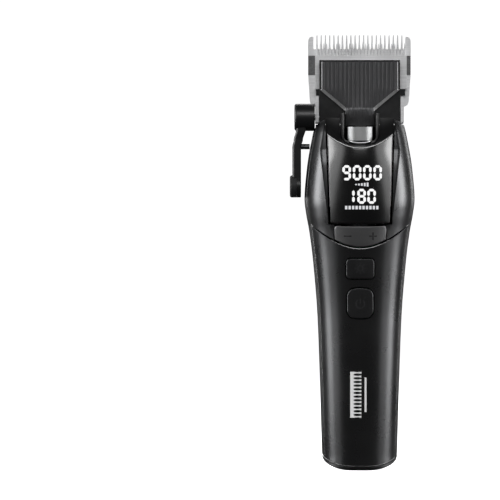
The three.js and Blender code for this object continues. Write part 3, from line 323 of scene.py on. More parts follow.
def rising(t, share):
    return lerp(WAIST_Z, HEAD_Z, t), lerp(WAIST_HALF_WIDTH, HEAD_HALF_WIDTH, share)


def falling(t, share):
    return lerp(HEAD_Z, SHOULDER_Z, t), lerp(HEAD_HALF_WIDTH, SHOULDER_HALF_WIDTH, share)


width_at = profile([
    (SOLE_RISE, BASE_HALF_WIDTH), (WAIST_Z, WAIST_HALF_WIDTH), rising(0.5, 0.36), rising(0.75, 0.655),
    rising(0.87, 0.86), (HEAD_Z, HEAD_HALF_WIDTH), falling(0.4, 0.21), falling(0.8, 0.67),
    (SHOULDER_Z, SHOULDER_HALF_WIDTH), (EAR_TOP_Z, SHOULDER_HALF_WIDTH - 1),
])
front_at = profile([
    (SOLE_RISE, BASE_DEPTH), (WAIST_Z, WAIST_DEPTH),
    (lerp(WAIST_Z, HEAD_Z, 0.66), lerp(WAIST_DEPTH, HEAD_FRONT, 0.55)), (HEAD_Z, HEAD_FRONT),
    (lerp(HEAD_Z, SHOULDER_Z, 0.45), HEAD_FRONT),
    (WINDOW_SIDE_Z, lerp(HEAD_FRONT, SHOULDER_FRONT, 0.35)),
    (SHOULDER_Z, SHOULDER_FRONT), (EAR_TOP_Z, SHOULDER_FRONT - 4.5),
])
back_at = profile([
    (SOLE_RISE, BASE_DEPTH), (WAIST_Z, WAIST_DEPTH), (HEAD_Z, HEAD_BACK),
    (lerp(HEAD_Z, SHOULDER_Z, 0.45), HEAD_BACK - 1), (SHOULDER_Z, SHOULDER_BACK),
    (EAR_TOP_Z, SHOULDER_BACK - 1.4),
])
print("half width at the base, waist, head and shoulder:",
      [round(width_at(z), 2) for z in (SOLE_RISE, WAIST_Z, HEAD_Z, SHOULDER_Z)])


# %% Points of the skin
def plain_front(x, z, inset=0.0):
    share = min(1.0, abs(x) / (width_at(z) - inset))
    return (front_at(z) - inset) * (1 - share**ROUNDNESS) ** (1 / ROUNDNESS)


def window_edge(z):
    return WINDOW_HALF_WIDTH - WINDOW_TAPER * max(0.0, WINDOW_SIDE_Z - z)


def crease_at(z):
    spread = CREASE_INSET * clamp((z - WINDOW_BOTTOM_Z + 10) / 40, 0.3, 1)
    return min(window_edge(z) + spread, CREASE_SHARE * width_at(z))


def front_depth(x, z, inset=0.0):
    """The head has a flat strip each side of the window, from its edge out to a crease."""
    plain = plain_front(x, z, inset)
    crease = crease_at(z)
    if abs(x) >= crease:
        return plain
    strip = plain_front(crease, z) + (crease - abs(x)) * STRIP_SLOPE - inset
    return lerp(plain, min(plain, strip), smoothstep(z, JOINT_CENTRE_Z + 5, WINDOW_BOTTOM_Z + 3))


def signed_power(value, power):
    return math.copysign(abs(value) ** power, value)


def skin(z, angle, inset=0.0, strips=True):
    """Angle 0 is the front centre, pi is the back centre."""
    power = 2 / ROUNDNESS
    x = (width_at(z) - inset) * signed_power(math.sin(angle), power)
    if math.cos(angle) > 1e-9:
        depth = front_depth(x, z, inset) if strips else plain_front(x, z, inset)
        return x, -depth, z
    return x, -(back_at(z) - inset) * signed_power(math.cos(angle), power), z


def angle_of(x, z):
    return math.asin(clamp(abs(x) / width_at(z)) ** (ROUNDNESS / 2))


def seam_angle(z):
    return angle_of(width_at(z) - SEAM_INSET, z)


def sole_at(x):
    reach = clamp((abs(x) - FOOT_HALF_WIDTH) / (BASE_HALF_WIDTH - FOOT_HALF_WIDTH))
    return SOLE_RISE * (1 - math.sqrt(1 - reach**2))


def joint_at(x):
    return JOINT_CENTRE_Z + JOINT_RISE * (abs(x) / 22) ** 2


def ear_top(x):
    return EAR_TOP_Z - 0.39 * max(0.0, abs(x) - WINDOW_HALF_WIDTH)


def window_depth(x, z, inset=0.0):
    edge = window_edge(z)
    sagitta = front_at(z) - front_depth(edge, z) + WINDOW_RECESS
    return front_at(z) - inset - sagitta * (x / edge) ** 2


# %% [markdown]
# Holes are cut with a tool that follows the same skin and flares at the surface, so each hole gets
# an even chamfer although the surface curves. A cut leaves long faces round the hole, and those
# would bend the reflections. So after the cuts the true normal of the skin is written back to every
# corner that lies on it.

# %% A tool or plug that follows the front skin
def skin_rings(outline, steps, depth=plain_front):
    """steps are (margin, inset) pairs, from outside the skin to inside it."""
    return [[(x, -depth(x, z) + inset, z) for x, z in grown(outline, margin)] for margin, inset in steps]


def skin_tool(outline, clearance, chamfer, reach=6.0):
    flare = clearance + chamfer + 1
    steps = [(flare, -5), (flare, -1), (clearance, chamfer), (clearance, reach)]
    return ring_stack("tool", skin_rings(outline, steps))


def skin_level(x, y, z):
    """1 on the plain skin and less inside it."""
    depth = front_at(z) if y < 0 else back_at(z)
    return (abs(x) / width_at(z)) ** ROUNDNESS + (abs(y) / depth) ** ROUNDNESS


def surface_normal(x, y, z):
    """Outward normal of the plain superellipse skin, by small differences."""
    step = 0.02
    slopes = [skin_level(x + step, y, z) - skin_level(x - step, y, z),
              skin_level(x, y + step, z) - skin_level(x, y - step, z),
              skin_level(x, y, z + step) - skin_level(x, y, z - step)]
    return Vector(slopes).normalized()


def polish(piece, on_skin, normal=surface_normal, reach=math.radians(28)):
    """Writes the skin's own normal to each face corner that lies on the skin."""
    mesh = piece.data
    own = [corner.vector.copy() for corner in mesh.corner_normals]
    for face in mesh.polygons:
        centre = face.center / MM
        side = normal(*centre)
        if not on_skin(*centre, face) or side.angle(face.normal, 4) > reach:
            continue
        for corner in face.loop_indices:
            point = mesh.vertices[mesh.loops[corner].vertex_index].co / MM
            own[corner] = normal(*point.lerp(centre, 0.03))
    mesh.normals_split_custom_set(own)
    return piece


def near_plain_skin(x, y, z, face=None):
    return skin_level(x, y, z) > 0.985


# %% [markdown]
# The rims of the covers get a paler colour than their faces: a painted highlight along each rim.
# The tests below find the rim's own faces, which lie just under the skin and still look outward.

# %% Faces of a rounded rim
RIM_DEEPEST, RIM_HIGHEST = 0.93, 0.988
SEAM_LINE, HEAD_RIM_WIDTH, HEAD_RIM_TOP_Z = 0.25, 0.9, 130
OUTWARD_LIMIT = 1.2


def looks_outward(face):
    return face.normal.angle(surface_normal(*(face.center / MM)), 4) < OUTWARD_LIMIT


def on_rim(face):
    return RIM_DEEPEST < skin_level(*(face.center / MM)) < RIM_HIGHEST and looks_outward(face)


# %% [markdown]
# ## Rear housing
#
# The rear housing is a half tube that wraps round the sides, so its rims show as a dark edge each
# side of the front. It holds two screws in round wells and a shallow pocket for the lever's boss.

# %% Rear housing
SEAM_GAP = 0.22
OUTSIDE = 30  # past every surface, for the ends of the tools that cut
BUTTON_CLEARANCE, BUTTON_CHAMFER = 0.28, 0.3
ROCKER_CLEARANCE, ROCKER_CHAMFER = 0.3, 0.2
BOSS_CLEARANCE = 0.3
BARREL_LENGTH = SHOULDER_Z - SOLE_RISE
RIM = 0.45
lever_low, lever_high = box_mm("taper_lever")
LEVER_Y = (lever_low[1] + lever_high[1]) / 2
BOSS_RADIUS = (lever_high[1] - lever_low[1]) / 2
LEVER_Z = lever_high[2] - BOSS_RADIUS


def shell_bottom(x):
    return sole_at(x * 0.985) + SOLE_THICKNESS + 0.3


def rear_place(u, v, inset):
    def at(z):
        start = seam_angle(z) + SEAM_GAP / width_at(z)
        return skin(z, lerp(start, 2 * math.pi - start, u), inset, strips=False)

    return at(lerp(shell_bottom(at(SOLE_RISE)[0]), SHOULDER_Z - 0.3, v))


def screw_well(name):
    """A round well with a flared mouth, down to the seat of a rear screw."""
    low, high = box_mm(name)
    middle, radius = (low[2] + high[2]) / 2, (high[0] - low[0]) / 2 + 0.25
    surface = back_at(middle)
    sides = [(radius, high[1] - 1.2), (radius, surface - 0.4),
             (radius + 0.5, surface + 0.1), (radius + 0.9, surface + 1)]
    return turned("well", "y", (0, middle), sides)


def boss_pocket():
    """The shallow pocket in the left side that clears the lever's boss."""
    radius = BOSS_RADIUS + BOSS_CLEARANCE
    return turned("pocket", "x", (LEVER_Y, LEVER_Z), [(radius, -OUTSIDE), (radius, -19.2)])


REAR_SCREWS = ("housing_screw_lower", "housing_screw_upper")
rear = shell("rear_shell", rear_place, rims(72, 70, RIM), rims(96, BARREL_LENGTH, RIM), WALL)
carve(rear, boss_pocket(), *[screw_well(name) for name in REAR_SCREWS])
polish(rear, near_plain_skin)
finish_piece(rear, "body", "gunmetal_shell", "rear_housing")

# %% [markdown]
# ## Barrel cover
#
# The barrel cover is the long front moulding that the hand holds. Its lower rim follows the round
# end, its upper rim is the bow under the display, and both buttons sit in chamfered holes.

# %% Outlines of the buttons and the rocker
def rounded_outline(centre_z, width, height, corner, bulge=0.0, per_corner=10, per_side=8):
    """A rounded rectangle whose top and bottom sides may bow outward."""
    points = []
    right, top = width / 2, height / 2
    corners = [(right, -top, -0.5), (right, top, 0.0), (-right, top, 0.5), (-right, -top, 1.0)]
    for index, (x, z, start) in enumerate(corners):
        cx, cz = x - math.copysign(corner, x), z - math.copysign(corner, z)
        for k in range(per_corner + 1):
            angle = (start + 0.5 * k / per_corner) * math.pi
            points.append((cx + corner * math.cos(angle), cz + corner * math.sin(angle)))
        nx, nz, nstart = corners[(index + 1) % 4]
        ncx, ncz = nx - math.copysign(corner, nx), nz - math.copysign(corner, nz)
        begin = points[-1]
        end = (ncx + corner * math.cos(nstart * math.pi), ncz + corner * math.sin(nstart * math.pi))
        for k in range(1, per_side):
            t = k / per_side
            points.append((lerp(begin[0], end[0], t), lerp(begin[1], end[1], t)))
    bowed = []
    for x, z in points:
        lift = bulge * (1 - (x / right) ** 2) * clamp(abs(z) / top)
        bowed.append((x, centre_z + z + math.copysign(lift, z)))
    return bowed


def cap_outline(node, corner, bulge, margin=0.6):
    """The button's face: the node's box without the hidden flange round it."""
    low, high = box_mm(node)
    width, height = high[0] - low[0] - 2 * margin, high[2] - low[2] - 2 * margin
    return rounded_outline((low[2] + high[2]) / 2, width, height - 2 * bulge, corner, bulge)


light_outline = cap_outline("light_button", 1.8, 0.0)
power_outline = cap_outline("power_button", 2.6, 0.9)

ROCKER_HALF_WIDTH = box_mm("speed_rocker")[1][0]
ROCKER_TOP_Z = WINDOW_BOTTOM_Z - 0.8


def rocker_outline():
    corner, points = 1.3, []
    half, top = ROCKER_HALF_WIDTH, ROCKER_TOP_Z
    for k in range(33):
        x = lerp(-half, half, k / 32)
        points.append((x, joint_at(x) + 0.5))
    for sign, start in ((1, 0.0), (-1, 0.5)):
        for k in range(9):
            angle = (start + 0.5 * k / 8) * math.pi
            x = sign * (half - corner) + corner * math.cos(angle)
            points.append((x, top - corner + corner * math.sin(angle)))
        if sign == 1:
            for k in range(1, 16):
                x = lerp(half - corner, corner - half, k / 16)
                points.append((x, top - 0.35 * (1 - (x / half) ** 2)))
    return points


rocker_shape = rocker_outline()


def rocker_opening():
    """The key's outline, opened down past the joint and up into the window's own opening."""
    stretched = []
    for x, z in rocker_shape:
        below, above = z < joint_at(x) + 0.6, z > ROCKER_TOP_Z - 0.4
        stretched.append((x, z - 1.5 if below else z + 1.0 if above else z))
    return stretched


print("rocker outline points:", len(rocker_shape))

# %% Barrel cover
def cover_place(bottom_at, top_at, guide_z):
    def place(u, v, inset):
        def at(z, strips=False):
            return skin(z, lerp(-seam_angle(z), seam_angle(z), u), inset, strips)

        return at(lerp(bottom_at(at(guide_z[0])[0]), top_at(at(guide_z[1])[0]), v))

    return place


barrel = shell(
    "barrel_shell",
    cover_place(shell_bottom, lambda x: joint_at(x) - 0.25, (SOLE_RISE, JOINT_CENTRE_Z)),
    rims(64, 40, RIM), rims(72, 95, RIM), WALL,
)
carve(barrel, skin_tool(light_outline, BUTTON_CLEARANCE, BUTTON_CHAMFER),
      skin_tool(power_outline, BUTTON_CLEARANCE, BUTTON_CHAMFER),
      skin_tool(rocker_shape, ROCKER_CLEARANCE, ROCKER_CHAMFER))
polish(barrel, near_plain_skin)
finish_piece(barrel, "body", "gunmetal_shell", "barrel_cover")


def barrel_rim_highlight(face):
    """Faces for the painted rim highlight: the rims at the joint and at the sole, and a fine line along each
    side seam.
    """
    x, y, z = face.center / MM
    if abs(x) > width_at(z) - SEAM_INSET - SEAM_LINE:
        return looks_outward(face) and skin_level(x, y, z) > RIM_DEEPEST
    return on_rim(face) and (z > joint_at(x) - 1 or z < shell_bottom(x) + 1)


# the joint, sole and seam rims take a paler colour: a painted highlight
second_finishes["barrel_shell"] = [("rim_highlight_paint", barrel_rim_highlight)]

# %% [markdown]
# ## Head cover
#
# The head cover frames the display. From its outer rim a rounded cheek comes forward to a crease,
# and a flat strip runs from the crease to the window. The mesh has its columns on that crease, so
# the reflections break there in one clean line.

# %% Head cover
CHEEK_COLUMNS, STRIP_COLUMNS = 18, 14


def head_columns():
    """Fractions from one rim to the other, each a signed (zone, share) pair."""
    cheek = [(1, share, drop) for share, drop in rims(CHEEK_COLUMNS, 14, RIM, end=False)]
    strip = [(0, k / STRIP_COLUMNS, 0.0) for k in range(1, STRIP_COLUMNS + 1)]
    left = [(-1, zone, share, drop) for zone, share, drop in cheek + strip]
    right = [(1, zone, share, drop) for zone, share, drop in reversed(cheek + strip[:-1])]
    return left + right


def head_point(side, zone, share, z, inset):
    crease = crease_at(z)
    if zone == 1:
        angle = lerp(seam_angle(z), angle_of(crease, z), share)
        x, y, z = skin(z, angle, inset)
        return side * x, y, z
    x = lerp(crease, 0, share)
    return side * x, -front_depth(x, z, inset), z


def head_shell():
    columns = head_columns()

    def place(u, v, inset):
        side, zone, share, _ = columns[round(u * (len(columns) - 1))]
        low_x = head_point(side, zone, share, JOINT_CENTRE_Z, inset)[0]
        high_x = head_point(side, zone, share, SHOULDER_Z, inset)[0]
        return head_point(side, zone, share, lerp(joint_at(low_x), ear_top(high_x), v), inset)

    across = [(i / (len(columns) - 1), columns[i][3]) for i in range(len(columns))]
    return shell("head_shell", place, across, rims(64, 50, 0.6), WALL)


def window_opening():
    low, high = window_edge(WINDOW_BOTTOM_Z) + WINDOW_GAP, WINDOW_HALF_WIDTH + WINDOW_GAP
    outline = [(-low, WINDOW_BOTTOM_Z - 0.3), (low, WINDOW_BOTTOM_Z - 0.3), (high, WINDOW_SIDE_Z),
               (high, EAR_TOP_Z + 5), (-high, EAR_TOP_Z + 5), (-high, WINDOW_SIDE_Z)]
    return outlined("opening", outline, (-OUTSIDE, -3))


def head_normal(x, y, z):
    if y < 0 and abs(x) < crease_at(z) and z > WINDOW_BOTTOM_Z:
        step = 0.05
        sideways = (front_depth(x + step, z) - front_depth(x - step, z)) / (2 * step)
        upward = (front_depth(x, z + step) - front_depth(x, z - step)) / (2 * step)
        return Vector((-sideways, -1, -upward)).normalized()
    return surface_normal(x, y, z)


head = head_shell()
nose_low, nose_high = box_mm("nose_cap")
NOSE_HALF_WIDTH, NOSE_FRONT_Y = nose_high[0], nose_low[1]
nose_seat = block("seat", (-NOSE_HALF_WIDTH - 0.2, NOSE_HALF_WIDTH + 0.2),
                  (NOSE_FRONT_Y - 0.2, 12), (nose_low[2], 170))
carve(head, window_opening(), skin_tool(rocker_opening(), ROCKER_CLEARANCE, ROCKER_CHAMFER),
      boss_pocket(), nose_seat)


def near_head_skin(x, y, z, face):
    if y < 0 and abs(x) < crease_at(z) and z > WINDOW_BOTTOM_Z:
        return abs(-y - front_depth(x, z)) < 0.05
    return near_plain_skin(x, y, z)


polish(head, near_head_skin, head_normal)
finish_piece(head, "body", "gunmetal_shell", "head_cover")


def head_rim_highlight(face):
    x, _, z = face.center / MM
    return on_rim(face) and abs(x) > width_at(z) - SEAM_INSET - HEAD_RIM_WIDTH and z < HEAD_RIM_TOP_Z


# the head's side rims take a paler colour: a painted highlight
second_finishes["head_shell"] = [("rim_highlight_paint", head_rim_highlight)]

# %% [markdown]
# ## Sole
#
# The round lower end is a separate sole with the charging socket and two contacts in it. Its upper
# rim keeps an even distance from its underside, so the parting line bows with the end.

# %% Sole
def sole():
    def rounding(z):
        return 1.6 * (1 - math.sqrt(max(0.0, 1 - (1 - min(z, SOLE_THICKNESS) / SOLE_THICKNESS) ** 2)))

    rings = []
    for z in [0, 0.12, 0.3, 0.6, 1.0, SOLE_THICKNESS, SOLE_RISE + SOLE_THICKNESS + 1]:
        ring = [skin(SOLE_RISE, 2 * math.pi * k / 96, rounding(z), strips=False) for k in range(96)]
        rings.append([(x, y, z) for x, y, _ in ring])
    column = ring_stack("sole", rings)
    under, over = [], []
    for k in range(49):
        x = (BASE_HALF_WIDTH + 0.3) * math.sin(lerp(-math.pi / 2, math.pi / 2, k / 48))
        under.append((x, sole_at(x)))
        over.insert(0, (x, sole_at(x * 0.985) + SOLE_THICKNESS))
    carve(column, outlined("band", under + over, (-OUTSIDE, OUTSIDE)), operation="INTERSECT")
    socket_low, socket_high = box_mm("charge_socket")
    depth = socket_high[1] - socket_low[1]
    slot_outline = rounded_outline((socket_low[1] + socket_high[1]) / 2, socket_high[0] - socket_low[0] + 0.6,
                                   depth + 0.6, depth / 2 + 0.29, per_side=2)
    slot_tool = ring_stack("slot", [[(x, y, z) for x, y in slot_outline] for z in (-3, 12)])
    contact_tools = []
    for name in ("contact_left", "contact_right"):
        low, high = box_mm(name)
        centre = ((low[0] + high[0]) / 2, (low[1] + high[1]) / 2)
        radius = (high[0] - low[0]) / 2
        sides = [(radius + 0.9, -0.3), (radius + 0.25, 0.35), (radius + 0.25, 9)]
        contact_tools.append(turned("hole", "z", centre, sides))
    carve(column, slot_tool, *contact_tools)
    return bevel(column, 0.22, 2)


finish_piece(sole(), "body", "black_plastic", "bottom_cap")

# %% [markdown]
# ## Display window and its lit marks
#
# The window is a dark lens that bulges forward between the strips, with a rounded rim. The digits
# are seven segment numerals. Each segment is a slim leaf that lies on the curved lens, because a
# flat row of digits would sink into the lens at its ends. Two rows of plain ticks stand under them.

# %% Window lens
def window_place(u, v, inset):
    side = 2 * u - 1
    z = lerp(WINDOW_BOTTOM_Z, WINDOW_TOP_Z + WINDOW_TOP_RISE * side**2, v)
    x = side * window_edge(z)
    return x, -window_depth(x, z, inset), z


lens = shell("window_lens", window_place, rims(60, 30, 0.5), rims(60, 34, 0.7), WINDOW_THICKNESS)
finish_piece(lens, "body", "gloss_window", "display_window")


def lens_rim_highlight(face):
    x, y, z = face.center / MM
    fallen = y + window_depth(x, z)
    return face.normal.y < -0.3 and 0.1 < fallen < 0.5 and z > WINDOW_BOTTOM_Z + 8


# the lens's upper rim takes a paler colour: a painted highlight
second_finishes["window_lens"] = [("rim_highlight_paint", lens_rim_highlight)]


# %% Thin raised marks that follow a surface
def marks(name, shapes, depth, raised=0.05, sunk=0.12, rings=3):
    """shapes are closed outlines in X and Z; each becomes a thin crowned plate on the surface."""
    points, faces = [], []
    for shape in shapes:
        centre = (sum(x for x, _ in shape) / len(shape), sum(z for _, z in shape) / len(shape))
        start, count = len(points), len(shape)
        levels = [(1.0, -sunk), (1.0, raised)] + [(1 - k / rings, raised) for k in range(1, rings)]
        for scale, lift in levels:
            for x, z in shape:
                px, pz = lerp(centre[0], x, scale), lerp(centre[1], z, scale)
                points.append((px, -depth(px, pz) - lift, pz))
        for j in range(len(levels) - 1):
            for i in range(count):
                k = (i + 1) % count
                a, b = start + j * count, start + (j + 1) * count
                faces.append((a + i, a + k, b + k, b + i))
        for j, lift in ((0, -sunk), (len(levels) - 1, raised)):
            points.append((centre[0], -depth(*centre) - lift, centre[1]))
            first = start + j * count
            faces += [(len(points) - 1, first + i, first + (i + 1) % count) for i in range(count)]
    return mesh_piece(name, points, faces, 50)


# %% Seven segment numerals
SEGMENTS = {"0": "abcdef", "1": "bc", "8": "abcdefg", "9": "abcdfg"}


def leaf(start, end, width):
    """A slim leaf between two points: pointed ends and full sides."""
    dx, dz = end[0] - start[0], end[1] - start[1]
    length = math.hypot(dx, dz)
    ux, uz = dx / length, dz / length
    widths = [(0, 0), (0.16, 0.42), (0.3, 0.5), (0.7, 0.5), (0.84, 0.42), (1, 0)]

    def edge(side, stations):
        return [(start[0] + dx * t - side * uz * width * w, start[1] + dz * t + side * ux * width * w)
                for t, w in stations]

    return edge(1, widths) + list(reversed(edge(-1, widths[1:-1])))


def digit(character, x, z, width, height, stroke):
    half, rise = (width - stroke) / 2, (height - stroke) / 2
    gap = 0.12
    corners = {"a": ((-half, rise), (half, rise)), "b": ((half, rise), (half, 0)),
               "c": ((half, 0), (half, -rise)), "d": ((half, -rise), (-half, -rise)),
               "e": ((-half, -rise), (-half, 0)), "f": ((-half, 0), (-half, rise)),
               "g": ((-half, 0), (half, 0))}
    shapes = []
    for name in SEGMENTS[character]:
        (ax, az), (bx, bz) = corners[name]
        length = math.hypot(bx - ax, bz - az)
        ux, uz = (bx - ax) / length, (bz - az) / length
        start = (x + ax + ux * gap, z + az + uz * gap)
        end = (x + bx - ux * gap, z + bz - uz * gap)
        shapes.append(leaf(start, end, stroke))
    return shapes


DIGIT_WIDTH, DIGIT_STROKE = 3.75, 1.12
SPEED_ROW = [("9", -5.95), ("0", -1.45), ("0", 3.0), ("0", 7.5)]
SPEED_Z, SPEED_HEIGHT = 129.4, 6.6
TIME_ROW = [("1", -4.35), ("8", 0.5), ("0", 4.85)]
TIME_Z, TIME_HEIGHT = 119.2, 6.5

lit_shapes = []
for row, z, height in ((SPEED_ROW, SPEED_Z, SPEED_HEIGHT), (TIME_ROW, TIME_Z, TIME_HEIGHT)):
    for character, x in row:
        lit_shapes += digit(character, x, z, DIGIT_WIDTH, height, DIGIT_STROKE)
digits = marks("display_digits", lit_shapes, window_depth, raised=0.04, sunk=0.1)
finish_piece(digits, "body", "gloss_window")


def tick(x, z, width, height):
    half, rise = width / 2, height / 2
    return [(x - half, z - rise), (x + half, z - rise), (x + half, z + rise), (x - half, z + rise)]


ticks = [tick(0.6 + (k - 2) * 1.25, 124.3, 0.8, 0.5 + 0.3 * k) for k in range(5)]
ticks += [tick(0.6 + (k - 4.5) * 1.5, 114.3, 1.0, 1.5) for k in range(10)]
gauge = marks("display_gauges", ticks, window_depth, raised=0.04, sunk=0.1, rings=1)
finish_piece(gauge, "body", "gloss_window")

# %% [markdown]
# ## Rocker and buttons
#
# Each control is a solid whose rings climb its side wall, turn over in a small round at the rim and
# then close over the face in ever smaller rings. The face follows the body's skin with a slight
# crown, so a control has the same reflections as the cover round it.

# %% Controls
def control(name, outline, proud, crown, deep, rim=0.35, steps=14):
    side = [(0, deep), (0, rim - proud)]
    side += [(-rim + rim * math.cos(a), rim - proud - rim * math.sin(a))
             for a in [k * math.pi / 12 for k in range(1, 7)]]
    rings = skin_rings(outline, side)
    face = grown(outline, -rim)
    centre = (sum(x for x, _ in face) / len(face), sum(z for _, z in face) / len(face))
    for k in range(1, steps):
        scale = 1 - k / steps
        lift = proud + crown * (1 - scale**2)
        rings.append([(lerp(centre[0], x, scale),
                       -plain_front(lerp(centre[0], x, scale), lerp(centre[1], z, scale)) - lift,
                       lerp(centre[1], z, scale)) for x, z in face])
    return ring_stack(name, rings, 50)


BUTTON_PROUD, BUTTON_CROWN, CONTROL_DEPTH = 0.38, 0.12, 2.0
ROCKER_PROUD, ROCKER_CROWN = 0.1, 0.1
light = control("light_key", light_outline, BUTTON_PROUD, BUTTON_CROWN, CONTROL_DEPTH)
finish_piece(light, "light_button", "button_face", "light_button")
power = control("power_key", power_outline, BUTTON_PROUD, BUTTON_CROWN, CONTROL_DEPTH)
finish_piece(power, "power_button", "button_face", "power_button")
rocker = control("rocker_key", rocker_shape, ROCKER_PROUD, ROCKER_CROWN, CONTROL_DEPTH)
finish_piece(rocker, "speed_rocker", "black_plastic", "speed_rocker")


# %% Marks on the controls
def stroke(points, width):
    """A line of even width with square ends, as one outline."""
    left, right = [], []
    for i, (x, z) in enumerate(points):
        before, after = points[max(0, i - 1)], points[min(len(points) - 1, i + 1)]
        dx, dz = after[0] - before[0], after[1] - before[1]
        length = math.hypot(dx, dz) or 1
        nx, nz = -dz / length * width / 2, dx / length * width / 2
        left.append((x + nx, z + nz))
        right.insert(0, (x - nx, z - nz))
    return left + right


def arc(x, z, radius, start, end, steps=6):
    angles = [lerp(start, end, k / steps) for k in range(steps + 1)]
    return [(x + radius * math.cos(angle), z + radius * math.sin(angle)) for angle in angles]


def dashes(x, z, radius, starts, length):
    """A broken ring: one arc of the given length, in degrees, from each start."""
    return [stroke(arc(x, z, radius, math.radians(a), math.radians(a + length)), MARK_WIDTH) for a in starts]


def middle_of(outline):
    return (min(z for _, z in outline) + max(z for _, z in outline)) / 2


def face_depth(proud, crown, outline):
    half_x, half_z = max(x for x, _ in outline), (max(z for _, z in outline) - min(z for _, z in outline)) / 2
    centre = middle_of(outline)

    def depth(x, z):
        scale = clamp(max(abs(x) / half_x, abs(z - centre) / half_z))
        return plain_front(x, z) + proud + crown * (1 - scale**2)

    return depth


MARK_WIDTH = 0.42
light_z, power_z, rocker_z = middle_of(light_outline), middle_of(power_outline), 101.9
power_shapes = dashes(0, power_z - 0.2, 1.9, range(125, 413, 48), 50)
power_shapes.append(stroke([(0, power_z - 0.1), (0, power_z + 2.1)], MARK_WIDTH))
power_face = face_depth(BUTTON_PROUD, BUTTON_CROWN, power_outline)
power_mark = marks("power_mark", power_shapes, power_face, raised=0.03, rings=1)
finish_piece(power_mark, "power_button", "button_face")

lamp_z = light_z + 0.2
lamp = dashes(0, lamp_z, 1.15, range(0, 360, 60), 62)
for k in range(8):
    angle = k * math.pi / 4
    ray = [(math.cos(angle) * r, lamp_z + math.sin(angle) * r) for r in (1.75, 2.5)]
    lamp.append(stroke(ray, MARK_WIDTH))
light_face = face_depth(BUTTON_PROUD, BUTTON_CROWN, light_outline)
lamp_mark = marks("lamp_mark", lamp, light_face, raised=0.03, rings=1)
finish_piece(lamp_mark, "light_button", "button_face")

SIGN_X, SIGN_HALF, SIGN_WIDTH = 5.5, 1.65, 0.62
sign_lines = [((-SIGN_X - SIGN_HALF, rocker_z), (-SIGN_X + SIGN_HALF, rocker_z)),
              ((SIGN_X - SIGN_HALF, rocker_z), (SIGN_X + SIGN_HALF, rocker_z)),
              ((SIGN_X, rocker_z + 0.32), (SIGN_X, rocker_z + SIGN_HALF)),
              ((SIGN_X, rocker_z - SIGN_HALF), (SIGN_X, rocker_z - 0.32))]
signs = [stroke(line, SIGN_WIDTH) for line in sign_lines]
rocker_face = face_depth(ROCKER_PROUD, ROCKER_CROWN, rocker_shape)
rocker_marks = marks("rocker_marks", signs, rocker_face, raised=0.03, rings=2)
finish_piece(rocker_marks, "speed_rocker", "black_plastic")

# %% [markdown]
# A plain comb, printed in white, marks the lower barrel: a spine with a row of teeth and a short
# double rule. It is generic, and it is laid on the skin like the other marks.

# %% Printed comb on the barrel
COMB_TOP_Z, COMB_BOTTOM_Z = 43.0, 23.0
comb = [stroke([(-3.6, COMB_BOTTOM_Z), (-3.6, COMB_TOP_Z)], 1.5)]
TOOTH_COUNT = 13
for k in range(TOOTH_COUNT):
    z = lerp(COMB_BOTTOM_Z + 0.45, COMB_TOP_Z - 0.45, k / (TOOTH_COUNT - 1))
    comb.append(stroke([(-2.85, z), (0.5, z)], 0.9))
comb.append(stroke([(2.3, COMB_BOTTOM_Z + 2.5), (2.3, COMB_TOP_Z - 2.5)], 0.85))
comb_print = marks("comb_print", comb, plain_front, raised=0.02, rings=2)
finish_piece(comb_print, "body", "gunmetal_shell")

# %% [markdown]
# ## Scoop, collar and neck insert
#
# Above the window a concave scoop runs back to the nose. A collar with a channel stands in it, and
# a plated insert with a bright lip fills the channel's foot.

# %% Scoop deck
SCOOP_END_Y = NOSE_FRONT_Y - 0.1


def scoop_place(u, v, inset):
    side = 2 * u - 1
    x = side * (WINDOW_HALF_WIDTH + 0.55)
    edge = min(1.0, abs(x) / WINDOW_HALF_WIDTH) * WINDOW_HALF_WIDTH
    start_z = WINDOW_TOP_Z + WINDOW_TOP_RISE * side**2 + 0.25
    start = (-window_depth(edge, start_z) + 0.35, start_z)
    turn = (lerp(-9.5, -7.5, abs(side)), start_z + 1.2)
    end = (SCOOP_END_Y, EAR_TOP_Z + 0.2)
    a, b, c = (1 - v) ** 2, 2 * v * (1 - v), v**2
    y, z = a * start[0] + b * turn[0] + c * end[0], a * start[1] + b * turn[1] + c * end[1]
    slope = math.atan2((1 - v) * (turn[1] - start[1]) + v * (end[1] - turn[1]),
                       (1 - v) * (turn[0] - start[0]) + v * (end[0] - turn[0]))
    return x, y + inset * math.sin(slope), z - inset * math.cos(slope)


def window_space():
    def place(u, v, inset):
        side = 2 * u - 1
        z = lerp(WINDOW_BOTTOM_Z, WINDOW_TOP_Z + WINDOW_TOP_RISE * side**2 + 0.2, v)
        x = side * (window_edge(z) + 1.2)
        return x, -window_depth(x, z, inset - 2), z

    return shell("tool", place, rims(24, 30, 0, False, False), rims(8, 30, 0, False, False), 6)


insert_low, insert_high = box_mm("neck_insert")
collar_low, collar_high = box_mm("neck_collar")
INSERT_HALF_WIDTH, INSERT_BOTTOM_Z, INSERT_TOP_Z = insert_high[0], insert_low[2], insert_high[2]
COLLAR_HALF_WIDTH, COLLAR_BOTTOM_Z, COLLAR_TOP_Z = collar_high[0], collar_low[2], collar_high[2]
COLLAR_Y, COLLAR_RADIUS, INSERT_RADIUS = -6.6, 8.9, 7.6
COLLAR_CORNER = 5.5


def neck_outline(half_width, bottom, top, corner, steps=14):
    points = [(half_width, top), (-half_width, top)]
    points += [(-half_width + corner + corner * math.cos(a), bottom + corner + corner * math.sin(a))
               for a in [math.pi + k * math.pi / 2 / steps for k in range(steps + 1)]]
    points += [(half_width - corner + corner * math.cos(a), bottom + corner + corner * math.sin(a))
               for a in [1.5 * math.pi + k * math.pi / 2 / steps for k in range(steps + 1)]]
    return points


